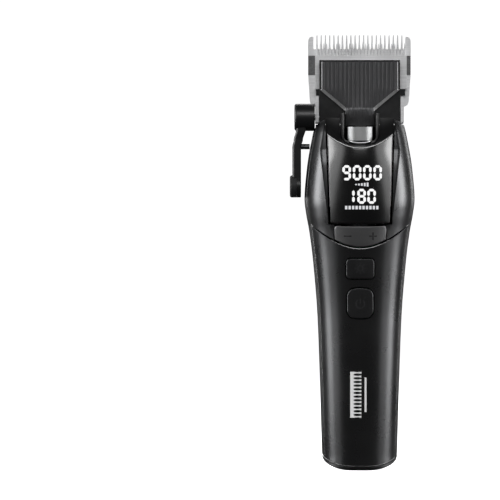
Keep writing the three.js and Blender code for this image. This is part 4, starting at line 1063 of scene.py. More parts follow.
scoop = shell("scoop", scoop_place, rims(60, 30, 0, False, False), rims(36, 20, 0.35, True, False), 1.3)
CHANNEL_TOP_Z, STOCK_TOP_Z = 165, 160
collar_space = neck_outline(COLLAR_HALF_WIDTH + 0.15, COLLAR_BOTTOM_Z - 0.15, CHANNEL_TOP_Z, COLLAR_CORNER)
carve(scoop, window_space(), outlined("channel", collar_space, (-OUTSIDE, -3.2)))
finish_piece(scoop, "body", "black_plastic", "scoop_deck")

# %% Hair guard face, which also shapes the collar's top
guard_high = box_mm("hair_guard")[1]
GUARD_HALF_WIDTH, GUARD_TOP_Z = guard_high[0], guard_high[2]
NECK_HALF_WIDTH, NECK_TOP_Z, NECK_BOTTOM_Z, NECK_DROP = 6.2, 156.5, 149.8, 8.2
GUARD_FRONT_Y, GUARD_THICKNESS, GUARD_FLARE_Z = -5.9, 1.3, 166


def guard_half_width(z):
    return lerp(NECK_HALF_WIDTH, GUARD_HALF_WIDTH, clamp((z - NECK_TOP_Z) / (GUARD_FLARE_Z - NECK_TOP_Z)))


def guard_face(x, z):
    fall = clamp((NECK_TOP_Z + 1.5 - z) / NECK_DROP)
    bend = INSERT_RADIUS - math.sqrt(INSERT_RADIUS**2 - min(abs(x), NECK_HALF_WIDTH) ** 2)
    reach = INSERT_RADIUS - COLLAR_Y + GUARD_FRONT_Y
    return GUARD_FRONT_Y - (reach - bend) * fall**1.5


def guard_tool():
    def place(u, v, inset):
        z = lerp(NECK_BOTTOM_Z - 0.3, 168, v)
        x = (2 * u - 1) * (guard_half_width(z) + 0.3)
        return x, guard_face(x, z) + inset - 6, z

    depth = 6 + GUARD_THICKNESS + 0.2
    return shell("tool", place, rims(20, 30, 0, False, False), rims(30, 30, 0, False, False), depth)


# %% Collar, insert and lip
def round_stock(radius, bottom, sides):
    """The round bar that the collar and the insert are both cut from."""
    return turned("round", "z", (0, COLLAR_Y), [(radius, bottom - 1), (radius, STOCK_TOP_Z)], sides)


collar_outline = neck_outline(COLLAR_HALF_WIDTH, COLLAR_BOTTOM_Z, COLLAR_TOP_Z, COLLAR_CORNER)
collar = outlined("collar", collar_outline, (-20, NOSE_FRONT_Y - 0.2))
carve(collar, round_stock(COLLAR_RADIUS, COLLAR_BOTTOM_Z, 128), operation="INTERSECT")
channel_outline = neck_outline(INSERT_HALF_WIDTH + 0.3, INSERT_BOTTOM_Z - 0.25, CHANNEL_TOP_Z, 2.0)
channel = outlined("channel", channel_outline, (-OUTSIDE, -9.5))
lip_seat = block("seat", (-4.9, 4.9), (-OUTSIDE, -12.2), (INSERT_BOTTOM_Z - 1.7, INSERT_BOTTOM_Z))
carve(collar, channel, lip_seat, guard_tool())
bevel(collar, 0.3, 3)
finish_piece(collar, "body", "black_plastic", "neck_collar")

insert_outline = neck_outline(INSERT_HALF_WIDTH, INSERT_BOTTOM_Z, INSERT_TOP_Z, 1.4)
insert = outlined("insert", insert_outline, (-20, insert_high[1]))
carve(insert, round_stock(INSERT_RADIUS, INSERT_BOTTOM_Z, 160), operation="INTERSECT")
bevel(insert, 0.25, 3)
finish_piece(insert, "body", "bright_chrome", "neck_insert")


def smile():
    """A slim bar bent round the collar, its ends a little higher than its middle."""
    rings, reach, radius = [], 4.5, INSERT_RADIUS + 0.15
    for k in range(41):
        x = lerp(-reach, reach, k / 40)
        y = COLLAR_Y - math.sqrt(radius**2 - x**2)
        z = INSERT_BOTTOM_Z - 1.05 + 0.75 * (x / reach) ** 2
        size = 0.36 * math.sqrt(max(0.02, 1 - abs(2 * k / 40 - 1) ** 10))
        rings.append([(x, y + 1.3 * size * math.cos(a), z + size * math.sin(a))
                      for a in [2 * math.pi * i / 16 for i in range(16)]])
    return ring_stack("insert_rim", rings, 60)


finish_piece(smile(), "body", "bright_chrome", "insert_lip")

# %% [markdown]
# ## Nose and hair guard
#
# The nose is a black channel that closes the head behind the blades. The guard in front of it is a
# thin plate with fine upright ribs and a bevelled border; its neck bends forward into the insert.
# The ribs are real relief: the plate's mesh is fine enough to carry each one.

# %% Nose cap
NOSE_BASE_Z, NOSE_TOP_Z, NOSE_WALL = nose_low[2], nose_high[2], 1.2
nose = block("nose", (-NOSE_HALF_WIDTH, NOSE_HALF_WIDTH), (NOSE_FRONT_Y, NOSE_FRONT_Y + NOSE_WALL),
             (NOSE_BASE_Z, NOSE_TOP_Z))
for side in (-1, 1):
    wall_x = sorted((side * NOSE_HALF_WIDTH, side * (NOSE_HALF_WIDTH - NOSE_WALL)))
    cheek = block("cheek", wall_x, (NOSE_FRONT_Y + 0.4, nose_high[1]), (NOSE_BASE_Z, 162.6))
    carve(nose, cheek, operation="UNION")
bush_low, bush_high = box_mm("lever_bush")
hole_radius = (bush_high[1] - bush_low[1]) / 2 + 0.25
carve(nose, turned("hole", "x", (LEVER_Y, LEVER_Z), [(hole_radius, -OUTSIDE), (hole_radius, 0)]))
bevel(nose, 0.35, 3)
finish_piece(nose, "body", "black_plastic", "nose_cap")

# %% Ribbed guard
RIB_PITCH, RIB_HEIGHT = 1.85, 0.24
LEDGE, LEDGE_DROP = 0.75, 0.95
BEVEL_WIDTH, FLARE_BEVEL_WIDTH, BEVEL_DROP = 0.5, 1.3, 0.42
FLARE_LEAN = math.atan2(GUARD_HALF_WIDTH - NECK_HALF_WIDTH, GUARD_FLARE_Z - NECK_TOP_Z)


def guard_zone(x, z):
    """Where a point of the face lies: on the sunk ledge, on the cut bevel or inside; and how far in."""
    from_side, from_top = guard_half_width(z) - abs(x), GUARD_TOP_Z - z
    if z < NECK_TOP_Z:
        return "inside", 0.0
    if z < GUARD_FLARE_Z:
        share = from_side * math.cos(FLARE_LEAN) / FLARE_BEVEL_WIDTH
        return ("bevel", 1 - share) if share < 1 and abs(x) > 6 else ("inside", 0.0)
    if min(from_side, from_top) < LEDGE:
        return "ledge", 0.0
    share = (from_side - LEDGE) / BEVEL_WIDTH
    return ("bevel", 1 - share) if share < 1 else ("inside", 0.0)


def guard_relief(x, z):
    """How far the face drops back: ribs inside, a bevel and then a ledge along the border."""
    zone, share = guard_zone(x, z)
    if zone == "ledge":
        return LEDGE_DROP
    if zone == "bevel":
        return RIB_HEIGHT + BEVEL_DROP * share
    ribbed = smoothstep(z, NECK_TOP_Z - 9, NECK_TOP_Z + 0.5)
    wave = 0.5 - 0.5 * math.cos(2 * math.pi * (x / RIB_PITCH))
    return RIB_HEIGHT * (1 - ribbed * (1 - wave**3))


def guard_place(u, v, inset):
    z = lerp(NECK_BOTTOM_Z, GUARD_TOP_Z, v)
    x = (2 * u - 1) * guard_half_width(z)
    if v == 0:
        z += 1.1 * (x / NECK_HALF_WIDTH) ** 2
    return x, guard_face(x, z) + (inset if inset else guard_relief(x, z)), z


guard = shell("guard_plate", guard_place, rims(240, 30, 0, False, False), rims(96, 30, 0, False, False),
              GUARD_THICKNESS, 30)
inner_y = GUARD_FRONT_Y + GUARD_THICKNESS - 0.3
lip = block("lip", (-GUARD_HALF_WIDTH + 0.2, GUARD_HALF_WIDTH - 0.2), (inner_y, guard_high[1]),
            (GUARD_TOP_Z - 1.2, GUARD_TOP_Z))
walls = []
for side in (-1, 1):
    wall_x = sorted((side * (GUARD_HALF_WIDTH - 0.05), side * (GUARD_HALF_WIDTH - 1.2)))
    walls.append(block("side", wall_x, (inner_y, -1.5), (GUARD_FLARE_Z + 0.6, GUARD_TOP_Z - 0.1)))
carve(guard, lip, *walls, operation="UNION", smooth_angle=30)
finish_piece(guard, "body", "ribbed_guard", "hair_guard")


def on_guard_front(face, zone):
    x, y, z = face.center / MM
    return face.normal.y < -0.2 and y < GUARD_FRONT_Y + LEDGE_DROP + 0.1 and guard_zone(x, z)[0] == zone


# The flare bevel faces take a pale colour: a painted highlight along the guard's diagonal edges.
def on_flare_bevel(face):
    return face.center.z < GUARD_FLARE_Z * MM and on_guard_front(face, "bevel")


# The sunk ledge round the guard's border takes the black moulding: painted shadow for the dark gap at the
# guard's edge.
def ledge_painted_shadow(face):
    return on_guard_front(face, "ledge")


second_finishes["guard_plate"] = [("bevel_highlight_paint", on_flare_bevel), ("black_plastic", ledge_painted_shadow)]

# %% [markdown]
# ## Blades
#
# The fixed blade is a ground plate whose teeth taper to rounded tips, with a milled groove across
# its face. The moving blade slides in front of it on a plain rail. Both are cut as outlines and
# bevelled so that every tooth has a bright edge; the fixed blade is also shaped by its side section.

# %% Teeth
def tooth_row(count, pitch, root_z, tip_z, root_width, tip_width, round_steps=4):
    """Outline points of a row of teeth with round tips, from right to left."""
    points = []
    for i in range(count):
        x = ((count - 1) / 2 - i) * pitch
        points.append((x + root_width / 2, root_z))
        radius = tip_width / 2
        points += [(x + radius * math.cos(a), tip_z - radius + radius * math.sin(a))
                   for a in [math.pi * k / round_steps for k in range(round_steps + 1)]]
        points.append((x - root_width / 2, root_z))
    return points


def gullets(points, root_z, depth=0.45):
    """Rounds the floor of each gap: a lower point goes between neighbouring teeth."""
    result = []
    for here, after in zip(points, points[1:] + points[:1]):
        result.append(here)
        if here[1] == root_z and after[1] == root_z and 0 < abs(here[0] - after[0]) < 2:
            result.append(((here[0] * 3 + after[0]) / 4, root_z - depth * 0.8))
            result.append(((here[0] + after[0]) / 2, root_z - depth))
            result.append(((here[0] + after[0] * 3) / 4, root_z - depth * 0.8))
    return result


# %% Fixed blade
fixed_low, fixed_high = box_mm("fixed_blade")
BLADE_HALF_WIDTH, BLADE_HEEL_Z, BLADE_TOP_Z = fixed_high[0], fixed_low[2], fixed_high[2]
BLADE_FRONT_Y, BLADE_BACK_Y = fixed_low[1], fixed_high[1]
HEEL_HALF_WIDTH, TOOTH_ROOT_Z, TOOTH_COUNT_FIXED, TOOTH_PITCH = 21.7, 184.2, 21, 1.857
GROOVE_BOTTOM_Z, GROOVE_TOP_Z = 172.4, 180.9
END_BLOCK = 2.35


def section_block(name, points, x=(-OUTSIDE, OUTSIDE)):
    """A side section in Y and Z, given a length along X."""
    return ring_stack(name, [[(place, y, z) for y, z in points] for place in x])


def fixed_blade():
    right = [(HEEL_HALF_WIDTH - 2.4, BLADE_HEEL_Z), (HEEL_HALF_WIDTH - 0.7, BLADE_HEEL_Z + 0.7),
             (HEEL_HALF_WIDTH, BLADE_HEEL_Z + 2.4), (BLADE_HALF_WIDTH, BLADE_HEEL_Z + 14),
             (BLADE_HALF_WIDTH, BLADE_TOP_Z - 2.3), (BLADE_HALF_WIDTH - 0.5, BLADE_TOP_Z - 1.1),
             (BLADE_HALF_WIDTH - 1.7, BLADE_TOP_Z - 0.6), (BLADE_HALF_WIDTH - END_BLOCK, BLADE_TOP_Z - 0.8),
             (BLADE_HALF_WIDTH - END_BLOCK, TOOTH_ROOT_Z)]
    left = [(-x, z) for x, z in reversed(right)]
    teeth = tooth_row(TOOTH_COUNT_FIXED, TOOTH_PITCH, TOOTH_ROOT_Z, BLADE_TOP_Z, 0.95, 0.5)
    outline = gullets(right + teeth + left, TOOTH_ROOT_Z)
    blade = outlined("blade_plate", outline, (BLADE_FRONT_Y - 1, BLADE_BACK_Y + 1))
    groove, tip = 0.35, 0.9
    section = [(BLADE_FRONT_Y, BLADE_HEEL_Z - 1), (BLADE_BACK_Y, BLADE_HEEL_Z - 1),
               (BLADE_BACK_Y, BLADE_HEEL_Z + 12),
               (BLADE_FRONT_Y + tip, BLADE_TOP_Z + 0.1), (BLADE_FRONT_Y, BLADE_TOP_Z + 0.1),
               (BLADE_FRONT_Y, GROOVE_TOP_Z), (BLADE_FRONT_Y + groove, GROOVE_TOP_Z - 0.1),
               (BLADE_FRONT_Y + groove, GROOVE_BOTTOM_Z + 0.1), (BLADE_FRONT_Y, GROOVE_BOTTOM_Z)]
    carve(blade, section_block("section", section), operation="INTERSECT")
    for name in ("blade_screw_left", "blade_screw_right"):
        low, high = box_mm(name)
        centre = ((low[0] + high[0]) / 2, (low[2] + high[2]) / 2)
        carve(blade, turned("hole", "y", centre, [(1.35, 0), (1.35, 12)], 32))
    return bevel(blade, 0.08, 2, 30)


finish_piece(fixed_blade(), "body", "blade_steel", "fixed_blade")


def blade_painted_shade(face):
    """Painted shade: the groove, and the tooth roots that the moving blade covers and shadows."""
    _, y, z = face.center / MM
    grooved = GROOVE_BOTTOM_Z - 0.1 < z < GROOVE_TOP_Z + 0.1 and y > BLADE_FRONT_Y + 0.05
    return grooved and y < BLADE_FRONT_Y + 1 or 181.5 < z < 185.6 and y < BLADE_FRONT_Y + 1.6


# the groove and the covered tooth roots take a dark steel colour: painted shade
second_finishes["blade_plate"] = [("painted_shade_steel", blade_painted_shade)]

# %% Moving blade
moving_low, moving_high = box_mm("moving_blade")
MOVING_X, MOVING_HALF_WIDTH = (moving_low[0] + moving_high[0]) / 2, (moving_high[0] - moving_low[0]) / 2
MOVING_RAIL_Z, MOVING_TOOTH_COUNT = 181, 28


def moving_blade():
    pitch = (2 * MOVING_HALF_WIDTH - 0.4) / MOVING_TOOTH_COUNT
    teeth = tooth_row(MOVING_TOOTH_COUNT, pitch, MOVING_RAIL_Z, moving_high[2], 1.0, 0.34)
    outline = [(MOVING_HALF_WIDTH, moving_low[2]), (MOVING_HALF_WIDTH, MOVING_RAIL_Z)]
    outline += teeth + [(-x, z) for x, z in reversed(outline)]
    outline = [(x + MOVING_X, z) for x, z in outline]
    blade = outlined("cutter_plate", outline, (moving_low[1], moving_high[1]))
    return bevel(blade, 0.08, 2, 30)


finish_piece(moving_blade(), "moving_blade", "blade_steel", "moving_blade")

# %% [markdown]
# ## Fasteners
#
# The screws are pan heads with a cross recess. One function turns the head and cuts the recess; the
# lever's screw has a plain slot.

# %% Screws
def screw(name, node, axis, outward, recess):
    low, high = box_mm(node)
    across = [i for i in range(3) if i != "xyz".index(axis)]
    along = "xyz".index(axis)
    centre = [(low[i] + high[i]) / 2 for i in across]
    radius = (high[across[0]] - low[across[0]]) / 2
    top, end = (high[along], low[along]) if outward > 0 else (low[along], high[along])
    dome = [(radius * math.sin(a), top - outward * (0.45 * (1 - math.cos(a)) / (1 - math.cos(1.2))))
            for a in [1.2 * k / 8 for k in range(1, 9)]]
    scale = radius / dome[-1][0]
    dome = [(r * scale, h) for r, h in dome]
    shank = 1.0
    head_base = top - outward * 1.3
    profile = [(0.01, top)] + dome + [(radius, head_base), (shank, head_base - outward * 0.05), (shank, end)]
    head = turned(name, axis, centre, profile, 48)
    reach = sorted((top + outward, top - outward * 0.8))
    for turn in range(2 if recess == "cross" else 1):
        half = (1.35, 0.26) if recess == "cross" else (radius + 1, 0.32)
        spans = [[-half[turn], half[turn]], [-half[1 - turn], half[1 - turn]]]
        ranges = {axis: reach}
        for index, span, middle in zip(across, spans, centre):
            ranges["xyz"[index]] = [middle + value for value in span]
        carve(head, block("recess", ranges["x"], ranges["y"], ranges["z"]))
    return bevel(head, 0.08, 2, 50)


for node, body, axis, outward, recess in (
        ("housing_screw_lower", "body", "y", 1, "cross"), ("housing_screw_upper", "body", "y", 1, "cross"),
        ("blade_screw_left", "body", "y", 1, "cross"), ("blade_screw_right", "body", "y", 1, "cross"),
        ("lever_screw", "taper_lever", "x", -1, "slot")):
    finish_piece(screw(node + "_head", node, axis, outward, recess), body, "blade_steel", node)

# %% [markdown]
# ## Taper lever
#
# The lever is one black moulding: a round boss on the pivot, an arm that bends outwards and a disc
# that carries the rubber thumb pad. The arm is lofted through rounded sections, so its edges roll
# the light the whole way down.

# %% Lever arm
pad_low, pad_high = box_mm("lever_pad")
KNOB_Z, KNOB_RADIUS = (pad_low[2] + pad_high[2]) / 2, (pad_high[2] - pad_low[2]) / 2
ARM_OUTER_X, ARM_THICKNESS, ARM_HALF_DEPTH, DETENT_Z = lever_low[0], 3.8, 3.6, 141.1
ARM_INNER_X = ARM_OUTER_X + ARM_THICKNESS
BOSS_OUTER_X, BOSS_INNER_X = ARM_OUTER_X + 0.9, lever_high[0]


def rounded_section(outer, inner, half, z, corner=1.25, steps=6):
    points = []
    for cx, cy, start in ((inner - 0.4, half - 0.4, 0), (outer + corner, half - corner, 1),
                          (outer + corner, -half + corner, 2), (inner - 0.4, -half + 0.4, 3)):
        radius = 0.4 if start in (0, 3) else corner
        points += [(cx + radius * math.cos(a), LEVER_Y + cy + radius * math.sin(a), z)
                   for a in [(start + k / steps) * math.pi / 2 for k in range(steps + 1)]]
    return points


def lever_arm():
    stations = [(KNOB_Z + 2, ARM_OUTER_X + 0.9, ARM_INNER_X, ARM_HALF_DEPTH),
                (KNOB_Z + KNOB_RADIUS - 0.5, ARM_OUTER_X, ARM_INNER_X, ARM_HALF_DEPTH),
                (DETENT_Z, ARM_OUTER_X, ARM_INNER_X, ARM_HALF_DEPTH),
                (LEVER_Z - 10, ARM_OUTER_X + 0.6, ARM_INNER_X + 0.8, ARM_HALF_DEPTH),
                (LEVER_Z - BOSS_RADIUS + 0.5, ARM_OUTER_X + 1.6, ARM_INNER_X + 2, ARM_HALF_DEPTH + 0.3),
                (LEVER_Z - 2, ARM_OUTER_X + 1.8, ARM_INNER_X + 2.2, ARM_HALF_DEPTH + 0.6)]
    rings = []
    for before, after in zip(stations, stations[1:]):
        for k in range(8):
            t = smoothstep(k / 8, 0, 1)
            z = lerp(before[0], after[0], k / 8)
            outer, inner, half = [lerp(a, b, t) for a, b in zip(before[1:], after[1:])]
            rings.append(rounded_section(outer, inner, half, z))
    rings.append(rounded_section(*stations[-1][1:], stations[-1][0]))
    arm = ring_stack("lever_body", rings)
    seat = ARM_INNER_X - 1.9
    pad_space = [(KNOB_RADIUS + 0.25, ARM_OUTER_X - 5), (KNOB_RADIUS + 0.25, seat)]
    carve(arm, turned("space", "x", (LEVER_Y, KNOB_Z), pad_space, 96))
    quarter = [k * math.pi / 12 for k in range(7)]
    boss = [(BOSS_RADIUS, BOSS_INNER_X), (BOSS_RADIUS, BOSS_OUTER_X + 1.1)]
    boss += [(BOSS_RADIUS - 1.1 + 1.1 * math.cos(a), BOSS_OUTER_X + 1.1 - 1.1 * math.sin(a))
             for a in quarter[1:]]
    disc = [(KNOB_RADIUS - 0.4 + 0.4 * math.sin(a), ARM_INNER_X - 0.4 + 0.4 * math.cos(a)) for a in quarter]
    disc.append((KNOB_RADIUS, seat))
    carve(arm, turned("boss", "x", (LEVER_Y, LEVER_Z), boss, 128),
          turned("disc", "x", (LEVER_Y, KNOB_Z), disc, 96), operation="UNION")
    screw_low, screw_high = box_mm("lever_screw")
    head_radius = (screw_high[1] - screw_low[1]) / 2
    shaft_end = box_mm("lever_shaft")[0][0]
    well = [(head_radius + 1.2, BOSS_OUTER_X - 1), (head_radius + 0.8, BOSS_OUTER_X + 0.3),
            (head_radius + 0.6, BOSS_OUTER_X + 1.6)]
    carve(arm, turned("well", "x", (LEVER_Y, LEVER_Z), well),
          turned("bore", "x", (LEVER_Y, LEVER_Z), [(1.3, BOSS_OUTER_X - 1), (1.3, BOSS_INNER_X)]),
          turned("bore", "x", (LEVER_Y, LEVER_Z), [(1.7, shaft_end - 0.3), (1.7, BOSS_INNER_X + 1)]),
          turned("bore", "x", (LEVER_Y, DETENT_Z), [(1.5, ARM_INNER_X - 1.2), (1.5, ARM_INNER_X + 3)]))
    return bevel(arm, 0.12, 2, 40)


finish_piece(lever_arm(), "taper_lever", "black_plastic", "taper_lever")


# %% Thumb pad with grip rings
def thumb_pad():
    outer, inner = pad_low[0], pad_high[0] + 0.25
    rim = [(KNOB_RADIUS - 0.9 + 0.9 * math.sin(a), outer + 0.9 - 0.9 * math.cos(a))
           for a in [k * math.pi / 16 for k in range(9)]]
    face = []
    for k in range(1, 60):
        radius = (KNOB_RADIUS - 0.9) * k / 60
        face.append((radius, outer + 0.09 * (1 - math.cos(2 * math.pi * radius / 0.72))))
    section = [(0.01, outer)] + face + rim + [(KNOB_RADIUS, inner)]
    return turned("thumb_grip", "x", (LEVER_Y, KNOB_Z), section, 96)


finish_piece(thumb_pad(), "taper_lever", "rubber_pad", "lever_pad")

# %% [markdown]
# ## Surface effects
#
# Real finishes are never even. Four effects are shared by the materials below, each a node group:
# a fine grain for mouldings and paint, grinding lines for steel, a little wear where edges are
# rubbed, and faint smudges that change the gloss from place to place.

# %% Node group helper
def new_group(name, inputs, outputs):
    group = bpy.data.node_groups.new(name, "ShaderNodeTree")
    for label, kind, value in inputs:
        socket = group.interface.new_socket(label, in_out="INPUT", socket_type="NodeSocket" + kind)
        socket.default_value = value
    for label, kind in outputs:
        group.interface.new_socket(label, in_out="OUTPUT", socket_type="NodeSocket" + kind)
    return group, group.nodes.new("NodeGroupInput"), group.nodes.new("NodeGroupOutput")


def object_place(tree):
    return tree.nodes.new("ShaderNodeTexCoord").outputs["Object"]


def spread(tree, value, low, high, to_low, to_high):
    """Maps a value from one range to another; any end may be a number or a socket."""
    node = tree.nodes.new("ShaderNodeMapRange")
    ends = {"Value": value, "From Min": low, "From Max": high, "To Min": to_low, "To Max": to_high}
    for label, end in ends.items():
        if hasattr(end, "node"):
            tree.links.new(end, node.inputs[label])
        else:
            node.inputs[label].default_value = end
    return node.outputs["Result"]


def combine(tree, operation, a, b):
    node = tree.nodes.new("ShaderNodeMath")
    node.operation = operation
    for index, value in enumerate((a, b)):
        if hasattr(value, "node"):
            tree.links.new(value, node.inputs[index])
        else:
            node.inputs[index].default_value = value
    return node.outputs["Value"]


# %% Fine grain: the texture of a spark-eroded mould or of lacquer
def grain_group():
    group, entry, result = new_group("fine_grain", [("Scale", "Float", 3000.0), ("Softness", "Float", 0.5)],
                                     [("Height", "Float"), ("Mask", "Float")])
    fine = group.nodes.new("ShaderNodeTexNoise")
    fine.inputs["Detail"].default_value = 3
    group.links.new(object_place(group), fine.inputs["Vector"])
    group.links.new(entry.outputs["Scale"], fine.inputs["Scale"])
    group.links.new(entry.outputs["Softness"], fine.inputs["Roughness"])
    group.links.new(fine.outputs["Fac"], result.inputs["Height"])
    group.links.new(spread(group, fine.outputs["Fac"], 0.35, 0.65, 0.0, 1.0), result.inputs["Mask"])
    return group


# %% Grinding lines: noise stretched along one direction
def grinding_group():
    group, entry, result = new_group("grinding_lines", [("Stretch", "Vector", (40.0, 2600.0, 2600.0))],
                                     [("Height", "Float"), ("Mask", "Float")])
    mapping = group.nodes.new("ShaderNodeMapping")
    group.links.new(object_place(group), mapping.inputs["Vector"])
    group.links.new(entry.outputs["Stretch"], mapping.inputs["Scale"])
    lines = group.nodes.new("ShaderNodeTexNoise")
    lines.inputs["Scale"].default_value = 1
    lines.inputs["Detail"].default_value = 4
    group.links.new(mapping.outputs["Vector"], lines.inputs["Vector"])
    group.links.new(lines.outputs["Fac"], result.inputs["Height"])
    group.links.new(spread(group, lines.outputs["Fac"], 0.3, 0.7, 0.0, 1.0), result.inputs["Mask"])
    return group


# %% Smudges: slow changes of gloss, as handling leaves
def smudge_group():
    group, entry, result = new_group("smudges", [("Gloss", "Float", 0.3), ("Change", "Float", 0.05)],
                                     [("Roughness", "Float")])
    slow = group.nodes.new("ShaderNodeTexNoise")
    slow.inputs["Scale"].default_value = 55
    slow.inputs["Detail"].default_value = 5
    group.links.new(object_place(group), slow.inputs["Vector"])
    swing = spread(group, slow.outputs["Fac"], 0.3, 0.7, -1.0, 1.0)
    change = combine(group, "MULTIPLY", swing, entry.outputs["Change"])
    group.links.new(combine(group, "ADD", entry.outputs["Gloss"], change), result.inputs["Roughness"])
    return group


# %% Edge wear: a mask that is strong on convex edges
def wear_group():
    group, entry, result = new_group("edge_wear", [("Amount", "Float", 0.3)], [("Mask", "Float")])
    sharpness = group.nodes.new("ShaderNodeNewGeometry").outputs["Pointiness"]
    patchy = group.nodes.new("ShaderNodeTexNoise")
    patchy.inputs["Scale"].default_value = 420
    patchy.inputs["Detail"].default_value = 4
    group.links.new(object_place(group), patchy.inputs["Vector"])
    edge = spread(group, sharpness, 0.53, 0.62, 0.0, 1.0)
    worn = combine(group, "MULTIPLY", edge, spread(group, patchy.outputs["Fac"], 0.4, 0.6, 0.3, 1.0))
    group.links.new(combine(group, "MULTIPLY", worn, entry.outputs["Amount"]), result.inputs["Mask"])
    return group


GRAIN, GRINDING, SMUDGES, WEAR = grain_group(), grinding_group(), smudge_group(), wear_group()
print("effects:", [group.name for group in (GRAIN, GRINDING, SMUDGES, WEAR)])

# %% [markdown]
# ## Materials
#
# Each finish is one short function. It starts from a Principled shader whose constant values are
# set on its own sockets, and then adds the effects that the finish really shows.

# %% Material helpers
def finish(name, colour, metallic=0.0, **sockets):
    material = bpy.data.materials.new(name)
    material.use_nodes = True
    material.diffuse_color = (*colour, 1)
    shader = material.node_tree.nodes["Principled BSDF"]
    shader.inputs["Base Color"].default_value = (*colour, 1)
    shader.inputs["Metallic"].default_value = metallic
    for label, value in sockets.items():
        shader.inputs[label.replace("_", " ").title().replace("Ior", "IOR")].default_value = value
    return material, material.node_tree, shader


def effect(tree, group, **values):
    node = tree.nodes.new("ShaderNodeGroup")
    node.node_tree = group
    for label, value in values.items():
        node.inputs[label.title()].default_value = value
    return node


def gloss(tree, shader, roughness, change):
    smudges = effect(tree, SMUDGES, gloss=roughness, change=change)
    tree.links.new(smudges.outputs["Roughness"], shader.inputs["Roughness"])


def relief(tree, shader, height, strength, distance):
    bump = tree.nodes.new("ShaderNodeBump")
    bump.inputs["Strength"].default_value = strength
    bump.inputs["Distance"].default_value = distance
    tree.links.new(height, bump.inputs["Height"])
    tree.links.new(bump.outputs["Normal"], shader.inputs["Normal"])


def tint(tree, shader, mask, base, other):
    blend = tree.nodes.new("ShaderNodeMix")
    blend.data_type = "RGBA"
    blend.inputs["A"].default_value = (*base, 1)
    blend.inputs["B"].default_value = (*other, 1)
    tree.links.new(mask, blend.inputs["Factor"])
    tree.links.new(blend.outputs["Result"], shader.inputs["Base Color"])


def moulded(name, colour, worn, roughness, grain_scale, grain, wear=0.3, **sockets):
    """A moulded or lacquered finish: grain relief, smudged gloss and paler edges."""
    material, tree, shader = finish(name, colour, **sockets)
    grain_node = effect(tree, GRAIN, scale=grain_scale)
    wear_node = effect(tree, WEAR, amount=wear)
    gloss(tree, shader, roughness, roughness * 0.14)
    relief(tree, shader, grain_node.outputs["Height"], grain, 0.00004)
    tint(tree, shader, wear_node.outputs["Mask"], colour, worn)
    return material


def machined(name, colour, dark, roughness, stretch, lines, metallic=1.0, **sockets):
    """A ground or drawn metal: fine lines in its relief and in its tone."""
    material, tree, shader = finish(name, colour, metallic, **sockets)
    line_node = effect(tree, GRINDING, stretch=stretch)
    gloss(tree, shader, roughness, roughness * 0.16)
    relief(tree, shader, line_node.outputs["Height"], lines, 0.00003)
    tint(tree, shader, line_node.outputs["Mask"], dark, colour)
    return material


# %% The clipper's finishes, one for each slot
MATERIALS = {
    "gunmetal_shell": moulded("gunmetal_lacquer", (0.055, 0.0555, 0.057), (0.09, 0.09, 0.092),
                              0.28, 6500, 0.03, 0.08,
                              metallic=0.9, specular_ior_level=0.3),
    "button_face": moulded("button_lacquer", (0.045, 0.0455, 0.047), (0.1, 0.1, 0.102),
                           0.34, 6500, 0.06, 0.25,
                           metallic=0.8, specular_ior_level=0.3),
    "black_plastic": moulded("black_moulding", (0.007, 0.0071, 0.0075), (0.03, 0.03, 0.031),
                             0.38, 4200, 0.12, 0.3,
                             specular_ior_level=0.4),
    "gloss_window": moulded("display_lens", (0.003, 0.003, 0.0032), (0.01, 0.01, 0.011),
                            0.24, 900, 0.012, 0.1,
                            specular_ior_level=0.6),
    "bright_chrome": machined("bright_plating", (0.86, 0.87, 0.88), (0.8, 0.81, 0.82),
                              0.24, (300.0, 300.0, 1800.0), 0.015),
    "ribbed_guard": moulded("guard_lacquer", (0.075, 0.075, 0.078), (0.19, 0.19, 0.195),
                            0.38, 5200, 0.08, 0.35,
                            metallic=0.7),
    "blade_steel": machined("ground_steel", (0.93, 0.93, 0.94), (0.78, 0.785, 0.79),
                            0.46, (70.0, 2600.0, 2600.0), 0.22),
    "rubber_pad": moulded("grip_rubber", (0.014, 0.014, 0.015), (0.03, 0.03, 0.03), 0.62, 2600, 0.25, 0.2,
                          specular_ior_level=0.35, sheen_weight=0.08),
    "zinc_plate": machined("zinc_plating", (0.58, 0.59, 0.6), (0.45, 0.46, 0.47),
                           0.38, (900.0, 900.0, 60.0), 0.12),
    "brass_parts": machined("turned_brass", (0.76, 0.56, 0.27), (0.6, 0.43, 0.2),
                            0.26, (2400.0, 2400.0, 2400.0), 0.08),
    "light_plastic": moulded("natural_acetal", (0.74, 0.73, 0.69), (0.84, 0.83, 0.8), 0.48, 3200, 0.1, 0.2,
                             subsurface_weight=0.05),
    "board_green": moulded("solder_mask", (0.012, 0.085, 0.035), (0.1, 0.2, 0.1), 0.32, 1500, 0.1, 0.2),
    "cell_wrap": moulded("cell_sleeve", (0.03, 0.13, 0.34), (0.1, 0.22, 0.42),
                         0.3, 1800, 0.06, 0.2, coat_weight=0.3),
    "red_wire": moulded("red_insulation", (0.42, 0.016, 0.014), (0.5, 0.06, 0.05), 0.45, 2600, 0.1, 0.1),
    "black_wire": moulded("black_insulation", (0.012, 0.012, 0.013), (0.03, 0.03, 0.03),
                          0.45, 2600, 0.1, 0.1),
}


